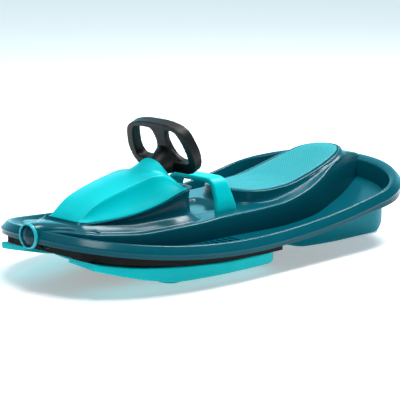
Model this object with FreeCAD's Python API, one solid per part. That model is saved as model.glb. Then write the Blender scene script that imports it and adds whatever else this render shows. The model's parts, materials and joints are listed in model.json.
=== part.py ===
import FreeCAD, Part
import math
import os

V = FreeCAD.Vector

# All sizes are in millimetres. X points forward, Y to the sled's left and Z up, and the ground is Z = 0.

# Hull outline at the skirt's lower edge
hull_half_width = 290.0
nose_x = 571.0
tail_x = -585.0
bow_start_x = 15.0
tail_start_x = -365.0
bow_power = 2.7
tail_power = 2.2
wall = 4.0

# Rim and skirt
rim_nose_z = 154.0
rim_middle_z = 101.0
rim_tail_z = 195.0
skirt_height = 32.0
rim_slope_width = 13.0
rim_slope_drop = 16.0
rim_width = 22.0
rim_reach = 95.0

# Leg wells, measured at well_level
well_level = 100.0
well_draft = 0.21
well_inner_y = 132.0
well_waist_y = 114.0
well_waist_x = -400.0
well_seat_x = -250.0
well_corner_y = 80.0
well_front_x = 492.0
well_front_y = 116.0
well_bend_x = 300.0
well_low_z = 34.0
well_high_z = 300.0
well_nose_gap = 24.0
well_tail_gap = 44.0
foot_floor_z = 79.0
seat_floor_drop = 41.0
nose_floor_z = 146.0
foot_rib_size = 4.0
foot_rib_rise = 3.0
foot_rib_pitch = 20.0
foot_rib_first_x = 80.0
foot_rib_count = 6
foot_rib_inner_y = 165.0
foot_rib_length = 80.0

# Spine deck between the wells
spine_half_width = 152.0
deck_nose_z = 158.0
deck_middle_z = 129.0
deck_seat_z = 133.0
deck_back_z = 219.0
deck_tail_z = 195.0

# Nose barrel that holds the tow cord's reel
barrel_radius = 34.0
barrel_z = 137.0
barrel_rear_x = 445.0
barrel_front_x = 574.0
barrel_bore_reach = 60.0

# Console under the hood
console_front_x = 476.0
console_rear_x = 135.0
console_front_y = 64.0
console_rear_y = 101.0
console_front_z = 157.0
console_rear_z = 208.0
console_opening_front_x = 440.0
console_opening_rear_x = 225.0
console_opening_half = 45.0

# Seat pad and its plinth
pad_front_x = -72.0
pad_rear_x = -505.0
pad_front_half = 86.0
pad_rear_half = 62.0
pad_recess = 5.0
pad_thickness = 8.0
pad_gap = 0.6
plinth_margin = 11.0
seat_front_z = 161.0
seat_low_z = 157.0
seat_rear_z = 226.0

# Hood
hood_wall = 3.0
hood_gap = 0.3
hood_front_x = 468.0
hood_front_half = 58.0
hood_front_z = 166.5
hood_crest_z = 249.0
hood_crease_y = 62.0
shroud_radius = 50.0
shroud_length = 120.0
shroud_x = 168.0
shroud_z = 224.0

# Steering column and wheel
column_tilt = 22.0
hub_x = 126.5
hub_z = 260.5
shaft_radius = 8.0
shaft_end = 294.0
shaft_start = -6.0
running_gap = 0.05
bush_wall = 3.0
bracket_radius = 19.0
upper_bracket_at = 62.0
lower_bracket_at = 232.0
bracket_length = 16.0
bracket_foot = 5.0
bracket_leg = 90.0
upper_foot_plate = (166.0, 220.0, 39.0)
lower_foot_plate = (338.0, 372.0, 62.0)
wheel_half_width = 115.0
wheel_top = 110.0
wheel_bottom = -27.0
wheel_thickness = 28.0
wheel_edge_round = 9.0
hole_inner = 26.0
hole_outer = 79.0
hole_bottom = 10.0
hole_top = 82.0
hub_cone_wide = 30.0
hub_cone_narrow = 20.0
hub_cone_length = 44.0
cap_radius = 20.0
cap_height = 5.0
wheel_screw_radius = 3.0
wheel_screw_head = 6.5
wheel_screw_head_height = 5.0
wheel_screw_depth = 18.0

# Crank, tie plate and guides
crank_at = 285.0
crank_thickness = 10.0
crank_hub_radius = 14.0
crank_length = 57.0
crank_width = 8.5
ball_radius = 7.0
fork_gap = 1.0
fork_wall = 5.0
fork_front_x = 383.0
fork_rear_x = 357.0
fork_top_z = 110.0
tongue_front_x = 387.0
tongue_half_width = 16.0
bar_half_width = 18.0
bar_half_length = 188.0
bar_drop = 35.0
bar_thickness = 7.0
guide_y = 70.0
guide_width = 24.0
guide_wall = 4.0
guide_gap = 0.4
guide_foot = 14.0
slot_play = 0.7
slot_half_length = 11.0

# Skis and kingpins
kingpin_x = 268.0
kingpin_y = 165.0
kingpin_radius = 6.0
kingpin_bottom_z = 24.0
kingpin_top_z = 79.5
ski_hub_radius = 16.0
ski_hub_top_z = 60.0
pin_reach = 112.0
pin_radius = 5.0
pin_bottom_z = 30.0
pin_top_z = 74.5
pin_boss_radius = 11.0
pin_boss_top_z = 57.0
ski_front_x = 520.0
ski_rear_x = 2.0
ski_front_inner_y = 78.0
ski_front_outer_y = 168.0
ski_rear_inner_y = 138.0
ski_rear_outer_y = 262.0
ski_front_top_z = 83.0
ski_rear_top_z = 51.0
ski_sole_z = 21.0
ski_tip_z = 78.0
ski_waist_y = 110.0
ski_heel_y = 232.0
ski_wall = 4.0
keel_half_width = 14.0
keel_rear_x = 60.0
keel_front_x = 345.0
washer_radius = 13.0
washer_thickness = 1.8
nut_flat_radius = 10.0
nut_height = 5.0
swing_limit = 17.0
swing_gap = 3.0

# Black subframe under the bow
frame_inset = 14.0
frame_front_x = 528.0
frame_rear_x = 2.0
frame_drop = 41.0
frame_plate = 3.0
frame_wall = 4.0
frame_lip = 10.0
apron_gap = 3.5
apron_rise = 5.5
frame_notch_x = 62.0
frame_notch_half = 112.0
frame_boss_radius = 17.0
frame_boss_bottom_z = 62.0
frame_boss_top_z = 72.0
frame_post_radius = 9.0
frame_post_places = ((70.0, 200.0), (190.0, 232.0), (325.0, 222.0), (450.0, 150.0))

# Brake
axle_x = 22.0
axle_z = 104.0
axle_radius = 6.0
axle_half_length = 123.0
handle_inner_y = 96.0
handle_thickness = 8.0
handle_top_z = 207.0
handle_top_half = 74.0
handle_foot_width = 58.0
handle_top_width = 42.0
handle_hub_radius = 14.0
handle_bend_rise = 40.0
handle_corner = 14.0
handle_widest_rise = 22.0
claw_y = 66.0
claw_thickness = 8.0
claw_hub_radius = 10.0
claw_length = 130.0
claw_angle = 30.0
claw_width = 14.0
claw_hook = 26.0
claw_tip = 12.0
claw_hub_reach = 4.0
handle_travel = 32.0
handle_slot_gap = 3.0
handle_lean_room = 4.0
block_inner_y = 109.0
block_thickness = 13.0
block_half_length = 18.0
deck_pocket_depth = 10.0
deck_pocket_front_x = 118.0
deck_pocket_rear_x = -48.0
deck_pocket_half = 84.0
spring_wire = 1.5
spring_coil_radius = 9.5
spring_turns = 5
spring_y = -44.0

# Rear runner
runner_front_x = -150.0
runner_rear_x = -532.0
runner_front_y = 112.0
runner_rear_y = 165.0
runner_wall = 4.0
runner_post_radius = 9.0
runner_post_places = ((-300.0, 146.0), (-390.0, 150.0), (-480.0, 148.0))

# Tow knob and cord reel
knob_radius = 26.0
knob_gap = 0.5
knob_tip_radius = 6.0
knob_proud = 3.0
knob_depth = 9.0
knob_cone = 5.0
knob_stem_radius = 7.0
knob_stem_length = 24.0
bezel_radius = 31.0
bezel_length = 14.0
bezel_front_x = 582.0
bezel_sleeve = 8.0
reel_x = 508.0
reel_radius = 24.0
reel_half_width = 15.0
reel_wall = 2.5
reel_flange = 6.0
reel_snout_radius = 9.0
reel_snout_length = 12.0
cord_hole_radius = 4.0
drum_radius = 13.0
drum_flange_radius = 20.0
drum_width = 14.0
drum_flange = 2.0
drum_gap = 0.5
reel_axle_radius = 3.0
reel_spring_wall = 0.8
reel_spring_turns = 4

# Screws
hood_screw_places = ((215.0, 84.0), (330.0, 76.0))
upper_foot_screws = ((205.0, 31.0),)
lower_foot_screws = ((355.0, 54.0),)
reel_pin_radius = 1.6
reel_pin_length = 12.0
screw_radius = 2.2
screw_head_radius = 4.5
screw_head_height = 3.0
screw_bite = 2.5
screw_seat = 0.5
slope_seat = 1.3

# Reach of the cutting blocks beyond the sled
far_x = 760.0
far_y = 420.0
deep_z = -60.0
high_z = 420.0


def rim_z(x):
    """Height of the rim's top: a parabola through its nose, middle and tail heights."""
    front = (rim_nose_z - rim_middle_z) / nose_x
    rear = (rim_tail_z - rim_middle_z) / tail_x
    curve = (front - rear) / (nose_x - tail_x)
    slope = front - curve * nose_x
    return rim_middle_z + slope * x + curve * x * x


def rim_line():
    return [(x, rim_z(x)) for x in range(-600, 601, 200)]


def floor_line():
    """Top of the well floor: level with the rim's sweep beside the seat, then the foot rests and the bow."""
    seat_end = [(x, rim_z(x) - seat_floor_drop) for x in (-600.0, -480.0, -360.0, -240.0)]
    return seat_end + [
        (-110.0, foot_floor_z - 4.0),
        (60.0, foot_floor_z),
        (190.0, foot_floor_z + 1.5),
        (kingpin_x, foot_floor_z + 8.0),
        (360.0, foot_floor_z + 22.0),
        (440.0, foot_floor_z + 40.0),
        (540.0, nose_floor_z),
    ]


def deck_line():
    return [
        (-600.0, deck_tail_z),
        (-540.0, deck_back_z - 12.0),
        (-470.0, deck_back_z),
        (-396.0, deck_back_z - 18.0),
        (-316.0, deck_seat_z + 36.0),
        (-230.0, deck_seat_z + 12.0),
        (-130.0, deck_seat_z - 2.0),
        (-20.0, deck_middle_z),
        (120.0, deck_middle_z + 1.0),
        (310.0, deck_middle_z + 6.0),
        (440.0, deck_middle_z + 16.0),
        (560.0, deck_nose_z),
    ]


def console_line():
    """Top of the console, where the hood sits."""
    return [
        (console_rear_x - 20.0, console_rear_z + 2.0),
        (173.0, console_rear_z - 5.0),
        (250.0, console_rear_z - 21.0),
        (332.0, console_front_z + 13.5),
        (410.0, console_front_z + 4.0),
        (console_front_x + 15.0, console_front_z),
    ]


def seat_line():
    """Top edge of the plinth and of the pad along the seat."""
    return [
        (pad_rear_x - 30.0, seat_rear_z + 3.0),
        (-460.0, seat_rear_z - 8.0),
        (-380.0, seat_rear_z - 30.0),
        (-300.0, seat_low_z + 18.0),
        (-220.0, seat_low_z + 3.0),
        (-150.0, seat_low_z),
        (pad_front_x + 20.0, seat_front_z),
    ]


def ski_top_line():
    return [
        (ski_rear_x - 10.0, ski_rear_top_z),
        (140.0, ski_rear_top_z),
        (kingpin_x, ski_rear_top_z + 5.0),
        (400.0, ski_front_top_z - 16.0),
        (ski_front_x + 10.0, ski_front_top_z + 1.5),
    ]


def ski_bottom_line():
    """Sole of the ski: level from the heel past the kingpin, then rising to the tip."""
    return [
        (ski_rear_x - 10.0, ski_sole_z),
        (140.0, ski_sole_z),
        (290.0, ski_sole_z),
        (379.0, ski_sole_z + 11.0),
        (456.0, ski_sole_z + 30.0),
        (ski_front_x + 10.0, ski_tip_z),
    ]


def keel_points():
    """Lower edge of the keel under the ski, which stands on the ground beside the kingpin."""
    return [
        (keel_rear_x, ski_sole_z),
        (keel_rear_x + 60.0, ski_sole_z - 15.0),
        (kingpin_x - 68.0, 0.0),
        (kingpin_x, 0.0),
        (keel_front_x - 35.0, ski_sole_z - 13.0),
        (keel_front_x, ski_sole_z + 3.0),
    ]


def apron_line():
    """Lower edge of the subframe's apron, which clears the skis' tops as they swing."""
    points = ski_top_line()
    start = points[0][0]
    length = points[-1][0] - start
    return [(x, z + apron_gap + apron_rise * (x - start) / length) for x, z in points]


def runner_bottom_points():
    return [
        (runner_front_x + 10.0, 48.0),
        (runner_front_x - 36.0, 10.0),
        (runner_front_x - 85.0, 0.0),
        (runner_rear_x + 34.0, 0.0),
        (runner_rear_x + 6.0, 20.0),
        (runner_rear_x - 10.0, 70.0),
    ]


def curve_edge(points, rise=0.0):
    curve = Part.BSplineCurve()
    curve.interpolate(Points=[V(x, 0.0, z + rise) for x, z in points])
    return curve.toShape()


def side_face(edge, start, end, level):
    """Face between a line in the XZ plane and a level, carried straight on to both ends of the reach."""
    left = V(-far_x, 0.0, start.z)
    right = V(far_x, 0.0, end.z)
    corners = [end, right, V(far_x, 0.0, level), V(-far_x, 0.0, level), left, start]
    lines = [Part.makeLine(a, b) for a, b in zip(corners, corners[1:])]
    return Part.Face(Part.Wire(Part.__sortEdges__([edge] + lines)))


def block_beside(points, rise, level, smooth):
    start = V(points[0][0], 0.0, points[0][1] + rise)
    end = V(points[-1][0], 0.0, points[-1][1] + rise)
    if smooth:
        face = side_face(curve_edge(points, rise), start, end, level)
    else:
        path = [V(x, 0.0, z + rise) for x, z in points]
        corners = [V(-far_x, 0.0, level), V(-far_x, 0.0, start.z)] + path
        corners += [V(far_x, 0.0, end.z), V(far_x, 0.0, level)]
        face = Part.Face(Part.makePolygon(corners + corners[:1]))
    face.translate(V(0.0, -far_y, 0.0))
    return face.extrude(V(0.0, 2.0 * far_y, 0.0))


def below(points, rise=0.0, smooth=True):
    return block_beside(points, rise, deep_z, smooth)


def above(points, rise=0.0, smooth=True):
    return block_beside(points, rise, high_z, smooth)


def line_height(points, x):
    probe = Part.makeLine(V(x, 0.0, deep_z), V(x, 0.0, high_z))
    return curve_edge(points).distToShape(probe)[1][0][0].z


def bow_point(angle, half_width, front):
    reach = (front - bow_start_x) * math.cos(angle) ** (2.0 / bow_power)
    return bow_start_x + reach, half_width * math.sin(angle) ** (2.0 / bow_power)


def tail_point(angle, half_width, rear):
    reach = (tail_start_x - rear) * math.cos(angle) ** (2.0 / tail_power)
    return tail_start_x - reach, half_width * math.sin(angle) ** (2.0 / tail_power)


def sweep_angles(first, last, count):
    return [first + (last - first) * n / count for n in range(count + 1)]


def outline_points(half_width, front, rear, first=0.0, last=0.0):
    """Left half of a boat-shaped outline from the bow to the tail, between two corner angles."""
    quarter = math.pi / 2.0
    points = [bow_point(a, half_width, front) for a in sweep_angles(first, quarter, 6)]
    points.append(((bow_start_x + tail_start_x) / 2.0, half_width))
    points += [tail_point(a, half_width, rear) for a in sweep_angles(quarter, last, 6)]
    return points


def plan_spline(points, z, **ends):
    curve = Part.BSplineCurve()
    curve.interpolate(Points=[V(x, y, z) for x, y in points], **ends)
    return curve.toShape()


def hull_ring(inset, height):
    """The hull outline at an inset as one closed curve, lifted to height(x) at each of its points."""
    left = outline_points(hull_half_width - inset, nose_x - inset, tail_x + inset)
    right = [(x, -y) for x, y in reversed(left[1:-1])]
    curve = Part.BSplineCurve()
    curve.interpolate(Points=[V(x, y, height(x)) for x, y in left + right], PeriodicFlag=True)
    return [curve.toShape()]


def sewn(faces):
    skin = Part.Compound(faces)
    skin.sewShape()
    shell = skin.Shells[0]
    if Part.Solid(shell).Orientation == "Reversed":
        shell.reverse()
    return Part.Solid(shell)


def bands(rings):
    faces = []
    for lower, upper in zip(rings, rings[1:]):
        faces += [Part.makeRuledSurface(a, b) for a, b in zip(lower, upper)]
    return faces


def stacked(rings):
    """Solid through closed rings, with flat caps on the first and the last."""
    caps = [Part.Face(Part.Wire(Part.__sortEdges__(ring))) for ring in (rings[0], rings[-1])]
    return sewn(caps + bands(rings))


def mirrored(shape):
    return shape.mirror(V(0.0, 0.0, 0.0), V(0.0, 1.0, 0.0))


def both(shape):
    return [shape, mirrored(shape)]


def polygon_prism(points, low, high):
    corners = [V(x, y, low) for x, y in points]
    return Part.Face(Part.makePolygon(corners + corners[:1])).extrude(V(0.0, 0.0, high - low))


def symmetric(points):
    return points + [(x, -y) for x, y in reversed(points)]


def spline_prism(points, low, high):
    """Prism on a closed smooth outline that is the same on both sides of the middle plane."""
    ring = points + [(x, -y) for x, y in reversed(points) if y > 0.0]
    curve = Part.BSplineCurve()
    curve.interpolate(Points=[V(x, y, low) for x, y in ring], PeriodicFlag=True)
    return Part.Face(Part.Wire(curve.toShape())).extrude(V(0.0, 0.0, high - low))


def box(x0, x1, y0, y1, z0, z1):
    return Part.makeBox(x1 - x0, y1 - y0, z1 - z0, V(x0, y0, z0))


def rod(radius, start, end):
    return Part.makeCylinder(radius, (end - start).Length, start, end - start)


def post(radius, x, y, low, high):
    return rod(radius, V(x, y, low), V(x, y, high))


def cross_rod(radius, x, z, left, right):
    return rod(radius, V(x, left, z), V(x, right, z))


def ring(outer, inner, start, end):
    return rod(outer, start, end).cut(rod(inner, start, end))


def hexagon(flat_radius, x, y, low, high):
    corner = flat_radius / math.cos(math.pi / 6.0)
    points = [
        (x + corner * math.cos(n * math.pi / 3.0), y + corner * math.sin(n * math.pi / 3.0)) for n in range(6)
    ]
    return polygon_prism(points, low, high)


def screw(x, y, head_z, tip_z):
    """Screw along Z with its head outside head_z, on the side away from the tip."""
    side = 1.0 if tip_z > head_z else -1.0
    head = rod(screw_head_radius, V(x, y, head_z - side * screw_head_height), V(x, y, head_z))
    return head.fuse(rod(screw_radius, V(x, y, head_z), V(x, y, tip_z))).removeSplitter()


def save(name, shape):
    shape.exportStep(os.path.join("parts", name + ".step"))
    print(f"{name:24s} solids {len(shape.Solids)} valid {shape.isValid()} volume {shape.Volume:.0f}")


def column_frame():
    """Frame of the column: its Z runs down the shaft from the wheel, its Y up the wheel's face."""
    tilt = math.radians(column_tilt)
    return FreeCAD.Matrix(
        0.0, math.sin(tilt), math.cos(tilt), hub_x,
        1.0, 0.0, 0.0, 0.0,
        0.0, math.cos(tilt), -math.sin(tilt), hub_z,
        0.0, 0.0, 0.0, 1.0,
    )


def column_direction():
    tilt = math.radians(column_tilt)
    return V(math.cos(tilt), 0.0, -math.sin(tilt))


def on_column(shape):
    placed = shape.copy()
    placed.transformShape(column_frame(), True)
    return placed


# Hull shell
def well_ring(grow, z):
    """Outline of the left well at a height, widened by grow and by the draft of its walls."""
    out = grow + well_draft * (z - well_level)
    half_width = hull_half_width - rim_width + out
    front = nose_x - well_nose_gap + out
    rear = tail_x + well_tail_gap - out
    reach = (well_front_x + out - bow_start_x) / (front - bow_start_x)
    first = math.acos(reach ** (bow_power / 2.0))
    last = math.asin(((well_corner_y - out) / half_width) ** (tail_power / 2.0))
    outer = outline_points(half_width, front, rear, first, last)
    inner = [
        outer[-1],
        (well_waist_x, well_waist_y - out),
        (well_seat_x, well_inner_y - out),
        (bow_start_x, well_inner_y - out),
        (well_bend_x, well_inner_y - out),
        (well_front_x + out, well_front_y - out),
    ]
    front_edge = Part.makeLine(V(*inner[-1], z), V(*outer[0], z))
    return [plan_spline(outer, z), plan_spline(inner, z), front_edge]


def well(grow):
    walls = stacked([well_ring(grow, well_low_z), well_ring(grow, well_high_z)])
    return walls.common(above(floor_line(), -grow))


def rim_ring():
    """Skirt, sloped rim edge and rim top as one band around the hull, closed on itself."""
    section = [
        (0.0, -skirt_height),
        (0.0, -rim_slope_drop),
        (rim_slope_width, 0.0),
        (rim_reach, 0.0),
        (rim_reach, -wall),
        (rim_slope_width + wall / 2.0, -wall),
        (wall, -rim_slope_drop - wall / 2.0),
        (wall, -skirt_height),
        (0.0, -skirt_height),
    ]
    return sewn(bands([hull_ring(inset, lambda x: rim_z(x) + drop) for inset, drop in section]))


def spine_prism(inset):
    side = spine_half_width - inset
    points = [
        (556.0 - inset, 32.0 - inset),
        (530.0 - inset, 70.0 - inset),
        (496.0 - inset, 122.0 - inset),
        (466.0, side),
        (-480.0, side),
        (-548.0 + inset, 96.0 - inset),
        (-560.0 + inset, 60.0 - inset),
    ]
    return polygon_prism(symmetric(points), deep_z, high_z)


def console_prism(inset):
    front_y = console_front_y - inset
    rear_y = console_rear_y - inset
    points = [
        (console_front_x - inset, 0.0),
        (console_front_x - 3.0 - inset, front_y - 14.0),
        (console_front_x - 18.0, front_y),
        (332.0, front_y + 25.0),
        (190.0, rear_y),
        (console_rear_x + 14.0, rear_y - 5.0),
        (console_rear_x + 1.0 + inset, rear_y - 24.0),
        (console_rear_x + inset, 0.0),
    ]
    return spline_prism(points, deep_z, high_z)


def pad_prism(grow):
    front_half = pad_front_half + grow
    rear_half = pad_rear_half + grow
    points = [
        (pad_front_x + grow, 0.0),
        (pad_front_x - 8.0 + grow, front_half - 36.0),
        (pad_front_x - 34.0, front_half - 9.0),
        (-175.0, front_half),
        (-340.0, front_half - 10.0),
        (-440.0, rear_half),
        (pad_rear_x + 12.0 - grow, rear_half - 28.0),
        (pad_rear_x - grow, 0.0),
    ]
    return spline_prism(points, deep_z, high_z)


def deck_pocket(grow):
    half = deck_pocket_half + grow
    pocket = box(deck_pocket_rear_x - grow, deck_pocket_front_x + grow, -half, half, deep_z, high_z)
    return pocket.common(above(deck_line(), -deck_pocket_depth - grow))


def nose_rod(radius, rear_x, front_x):
    return rod(radius, V(rear_x, 0.0, barrel_z), V(front_x, 0.0, barrel_z))


def hull_skin():
    """Skin over the rim, spine, console, plinth and nose barrel, before the wells are let in."""
    spine = spine_prism(0.0).common(below(deck_line())).common(above(floor_line(), -wall / 2.0))
    console = console_prism(0.0).common(below(console_line())).common(above(deck_line(), -2.0 * wall))
    plinth = pad_prism(plinth_margin).common(below(seat_line())).common(above(deck_line(), -2.0 * wall))
    form = spine.multiFuse([console, plinth, nose_rod(barrel_radius, barrel_rear_x, barrel_front_x)])
    spine = spine_prism(wall).common(below(deck_line(), -wall))
    console = console_prism(wall).common(below(console_line(), -wall))
    plinth = pad_prism(plinth_margin - wall).common(below(seat_line(), -wall - pad_recess))
    tube = nose_rod(barrel_radius - wall, barrel_rear_x - barrel_bore_reach, far_x)
    skin = form.fuse(rim_ring())
    for hollow in (spine, console, plinth, tube):
        skin = skin.cut(hollow)
    return skin


def well_tubs():
    """Solid tubs that the wells and the deck pocket are hollowed from, their tops buried in the skin."""
    tub = well(wall)
    low = tub.common(below(rim_line(), -wall / 2.0))
    high = tub.common(spine_prism(wall / 2.0)).common(below(deck_line(), -wall / 2.0))
    return both(low) + both(high) + [deck_pocket(wall).common(below(deck_line(), -wall / 2.0))]


def handle_slot():
    sweep = (line_height(deck_line(), axle_x) - axle_z) * math.tan(math.radians(handle_travel))
    front = axle_x + handle_foot_width / 2.0 + handle_slot_gap
    rear = axle_x - handle_foot_width / 2.0 - sweep - 3.0 * handle_slot_gap
    inner = handle_inner_y - handle_lean_room - handle_slot_gap
    outer = handle_inner_y + handle_thickness + handle_slot_gap
    return box(rear, front, inner, outer, axle_z, high_z)


def foot_ribs():
    ribs = []
    for n in range(foot_rib_count):
        x = foot_rib_first_x + n * foot_rib_pitch
        low = line_height(floor_line(), x)
        end = foot_rib_inner_y + foot_rib_length
        ribs.append(box(x, x + foot_rib_size, foot_rib_inner_y, end, low - 2.0, low + foot_rib_rise))
    return ribs


def floor_hole(x, y):
    """Blind hole in the underside of a well floor for a screw from below."""
    under = line_height(floor_line(), x) - wall
    return post(screw_radius, x, y, under - 5.0, under + screw_bite)


def console_hole(x, y):
    top = line_height(console_line(), x)
    return post(screw_radius, x, y, top - 3.0 * wall, top + 1.0)


def deck_hole(x, y):
    under = line_height(deck_line(), x) - wall
    return post(screw_radius, x, y, under - 5.0, under + screw_bite)


def hull_shell():
    shell = hull_skin().multiFuse(well_tubs())
    shell = shell.cut(Part.makeCompound(both(well(0.0)) + [deck_pocket(0.0)]))
    recess = pad_prism(pad_gap).common(above(seat_line(), -pad_recess))
    half = console_opening_half
    opening = box(console_opening_rear_x, console_opening_front_x, -half, half, deck_middle_z, high_z)
    cuts = [recess, opening] + both(handle_slot())
    for x, y in frame_post_places + runner_post_places:
        cuts += both(floor_hole(x, y))
    for x, y in hood_screw_places + upper_foot_screws + lower_foot_screws:
        cuts += both(console_hole(x, y))
    for x, y in block_screw_places():
        cuts += both(deck_hole(x, y))
    cuts.append(cross_rod(reel_pin_radius, reel_pin_x(), barrel_z, -far_y, far_y))
    shell = shell.cut(Part.makeCompound(cuts))
    ribs = [side for rib in foot_ribs() for side in both(rib)]
    return shell.multiFuse(ribs).removeSplitter()


# Console hood
def hood_section(x, lower_y, crease_y, crease_z, crown_z, inset):
    low = line_height(console_line(), x) - 2.0 * hood_wall
    foot = (lower_y - inset, low)
    crease = (crease_y - inset, crease_z - inset)
    left = [V(x, -foot[0], foot[1]), V(x, -crease[0], crease[1])]
    right = [V(x, crease[0], crease[1]), V(x, foot[0], foot[1])]
    crown = Part.Arc(left[1], V(x, 0.0, crown_z - inset), right[0]).toShape()
    return Part.Wire([Part.makeLine(*left), crown, Part.makeLine(*right), Part.makeLine(right[1], left[0])])


def hood_form(inset):
    sections = [
        (hood_front_x - inset, hood_front_half, hood_crease_y - 12.0, hood_front_z - 3.0, hood_front_z),
        (400.0, hood_front_half + 21.0, hood_crease_y - 2.0, hood_crest_z - 49.0, hood_crest_z - 43.0),
        (332.0, console_rear_y - 12.0, hood_crease_y, hood_crest_z - 29.0, hood_crest_z - 20.0),
        (262.0, console_rear_y - 6.0, hood_crease_y, hood_crest_z - 14.0, hood_crest_z - 5.0),
        (console_rear_x + 10.0, console_rear_y, hood_crease_y, hood_crest_z - 10.0, hood_crest_z),
    ]
    body = Part.makeLoft([hood_section(*values, inset) for values in sections], True)
    mouth = V(shroud_x, 0.0, shroud_z)
    along = column_direction()
    shroud = rod(shroud_radius - inset, mouth - along * inset, mouth + along * (shroud_length - inset))
    return body.fuse(shroud)


def mouth_block():
    """Everything behind the sloped rear face of the hood."""
    mouth = V(shroud_x, 0.0, shroud_z)
    return rod(2.0 * far_y, mouth - column_direction() * far_y, mouth)


def console_hood():
    hood = hood_form(0.0).cut(hood_form(hood_wall))
    for x, y in hood_screw_places:
        boss = post(1.5 * screw_head_radius, x, y, deep_z, high_z).common(hood_form(0.0))
        hood = hood.multiFuse(both(boss))
    hood = hood.common(above(console_line())).cut(mouth_block())
    hood = hood.cut(nose_rod(barrel_radius + hood_gap, barrel_rear_x - hood_gap, far_x))
    for x, y in hood_screw_places:
        top = line_height(console_line(), x) + screw_bite * 2.0
        hood = hood.cut(Part.makeCompound(both(post(screw_radius, x, y, deep_z, top))))
    return hood


def hood_screws():
    screws = []
    for x, y in hood_screw_places:
        top = line_height(console_line(), x)
        screws += both(screw(x, y, top - wall - 1.0, top + screw_bite * 2.0))
    return Part.makeCompound(screws)


def seat_pad():
    low = above(seat_line(), -pad_recess)
    return pad_prism(0.0).common(low).common(below(seat_line(), pad_thickness - pad_recess))


# Steering wheel and column, in the column's own frame
def shaft_rod(radius, start, end):
    return rod(radius, V(0.0, 0.0, start), V(0.0, 0.0, end))


def closed_face(points):
    curve = Part.BSplineCurve()
    curve.interpolate(Points=[V(x, y, 0.0) for x, y in points], PeriodicFlag=True)
    return Part.Face(Part.Wire(curve.toShape()))


def wheel_outline():
    half = [
        (0.0, wheel_top),
        (56.0, wheel_top - 4.0),
        (wheel_half_width - 20.0, wheel_top - 20.0),
        (wheel_half_width - 4.0, wheel_top - 56.0),
        (wheel_half_width, wheel_bottom + 48.0),
        (wheel_half_width - 10.0, wheel_bottom + 17.0),
        (wheel_half_width - 34.0, wheel_bottom + 2.0),
        (0.0, wheel_bottom),
    ]
    return half + [(-x, y) for x, y in reversed(half[1:-1])]


def hand_hole():
    return [
        (hole_inner, (hole_top + hole_bottom) / 2.0 + 8.0),
        (hole_inner + 6.0, hole_top - 8.0),
        (hole_inner + 24.0, hole_top),
        (hole_outer - 12.0, hole_top - 10.0),
        (hole_outer, hole_top - 32.0),
        (hole_outer - 3.0, hole_bottom + 16.0),
        (hole_outer - 18.0, hole_bottom),
        (hole_inner + 12.0, hole_bottom + 12.0),
    ]


def mirrored_across(shape):
    return shape.mirror(V(0.0, 0.0, 0.0), V(1.0, 0.0, 0.0))


def steering_wheel():
    half = wheel_thickness / 2.0
    plate = closed_face(wheel_outline())
    plate.translate(V(0.0, 0.0, -half))
    wheel = plate.extrude(V(0.0, 0.0, wheel_thickness))
    hole = closed_face(hand_hole())
    hole.translate(V(0.0, 0.0, -wheel_thickness))
    hole = hole.extrude(V(0.0, 0.0, 2.0 * wheel_thickness))
    wheel = wheel.makeFillet(wheel_edge_round, [e for e in wheel.Edges if e.BoundBox.ZLength < 0.1])
    wheel = wheel.cut(hole).cut(mirrored_across(hole))
    cone = Part.makeCone(hub_cone_wide, hub_cone_narrow, hub_cone_length, V(0.0, 0.0, half - 1.0))
    wheel = wheel.fuse(cone)
    bore = shaft_rod(shaft_radius, shaft_start, half + 2.0 * hub_cone_length)
    counterbore = shaft_rod(wheel_screw_head, -wheel_thickness, -half + wheel_screw_head_height)
    return on_column(wheel.cut(bore).cut(counterbore).cut(shaft_rod(wheel_screw_radius, -half, 0.0)))


def hub_cap():
    half = wheel_thickness / 2.0
    return on_column(shaft_rod(cap_radius, -half - cap_height, -half))


def wheel_screw():
    half = wheel_thickness / 2.0
    head = shaft_rod(wheel_screw_head, -half, -half + wheel_screw_head_height)
    return on_column(head.fuse(shaft_rod(wheel_screw_radius, -half, shaft_start + wheel_screw_depth)))


def steering_shaft():
    shaft = shaft_rod(shaft_radius, shaft_start, shaft_end)
    return on_column(shaft.cut(shaft_rod(wheel_screw_radius, shaft_start, shaft_start + wheel_screw_depth)))


def column_bush(start):
    end = start + bracket_length
    bush = shaft_rod(shaft_radius + bush_wall, start, end)
    return on_column(bush.cut(shaft_rod(shaft_radius + running_gap, start, end)))


def bracket_ring(start):
    return on_column(shaft_rod(bracket_radius, start, start + bracket_length))


def bush_bore(start):
    bore = shaft_rod(shaft_radius + bush_wall, start - bracket_length, start + 2.0 * bracket_length)
    return on_column(bore)


def foot_plate(rear_x, front_x, half):
    plate = box(rear_x, front_x, -half, half, deep_z, high_z)
    return plate.common(above(console_line())).common(below(console_line(), bracket_foot))


def console_screws(places):
    screws = []
    for x, y in places:
        top = line_height(console_line(), x)
        screws += both(screw(x, y, top + bracket_foot + slope_seat, top - wall))
    return Part.makeCompound(screws)


def screw_clearance(places):
    holes = []
    for x, y in places:
        holes += both(post(screw_radius, x, y, deep_z, high_z))
    return Part.makeCompound(holes)


def upper_bracket():
    leg = Part.makeBox(
        2.0 * bracket_radius, bracket_leg, bracket_length, V(-bracket_radius, -bracket_leg, upper_bracket_at)
    )
    bracket = bracket_ring(upper_bracket_at).fuse(on_column(leg))
    bracket = bracket.common(above(console_line())).fuse(foot_plate(*upper_foot_plate))
    return bracket.cut(bush_bore(upper_bracket_at)).cut(screw_clearance(upper_foot_screws)).removeSplitter()


def lower_bracket():
    bracket = bracket_ring(lower_bracket_at).fuse(foot_plate(*lower_foot_plate))
    return bracket.cut(bush_bore(lower_bracket_at)).cut(screw_clearance(lower_foot_screws)).removeSplitter()


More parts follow.
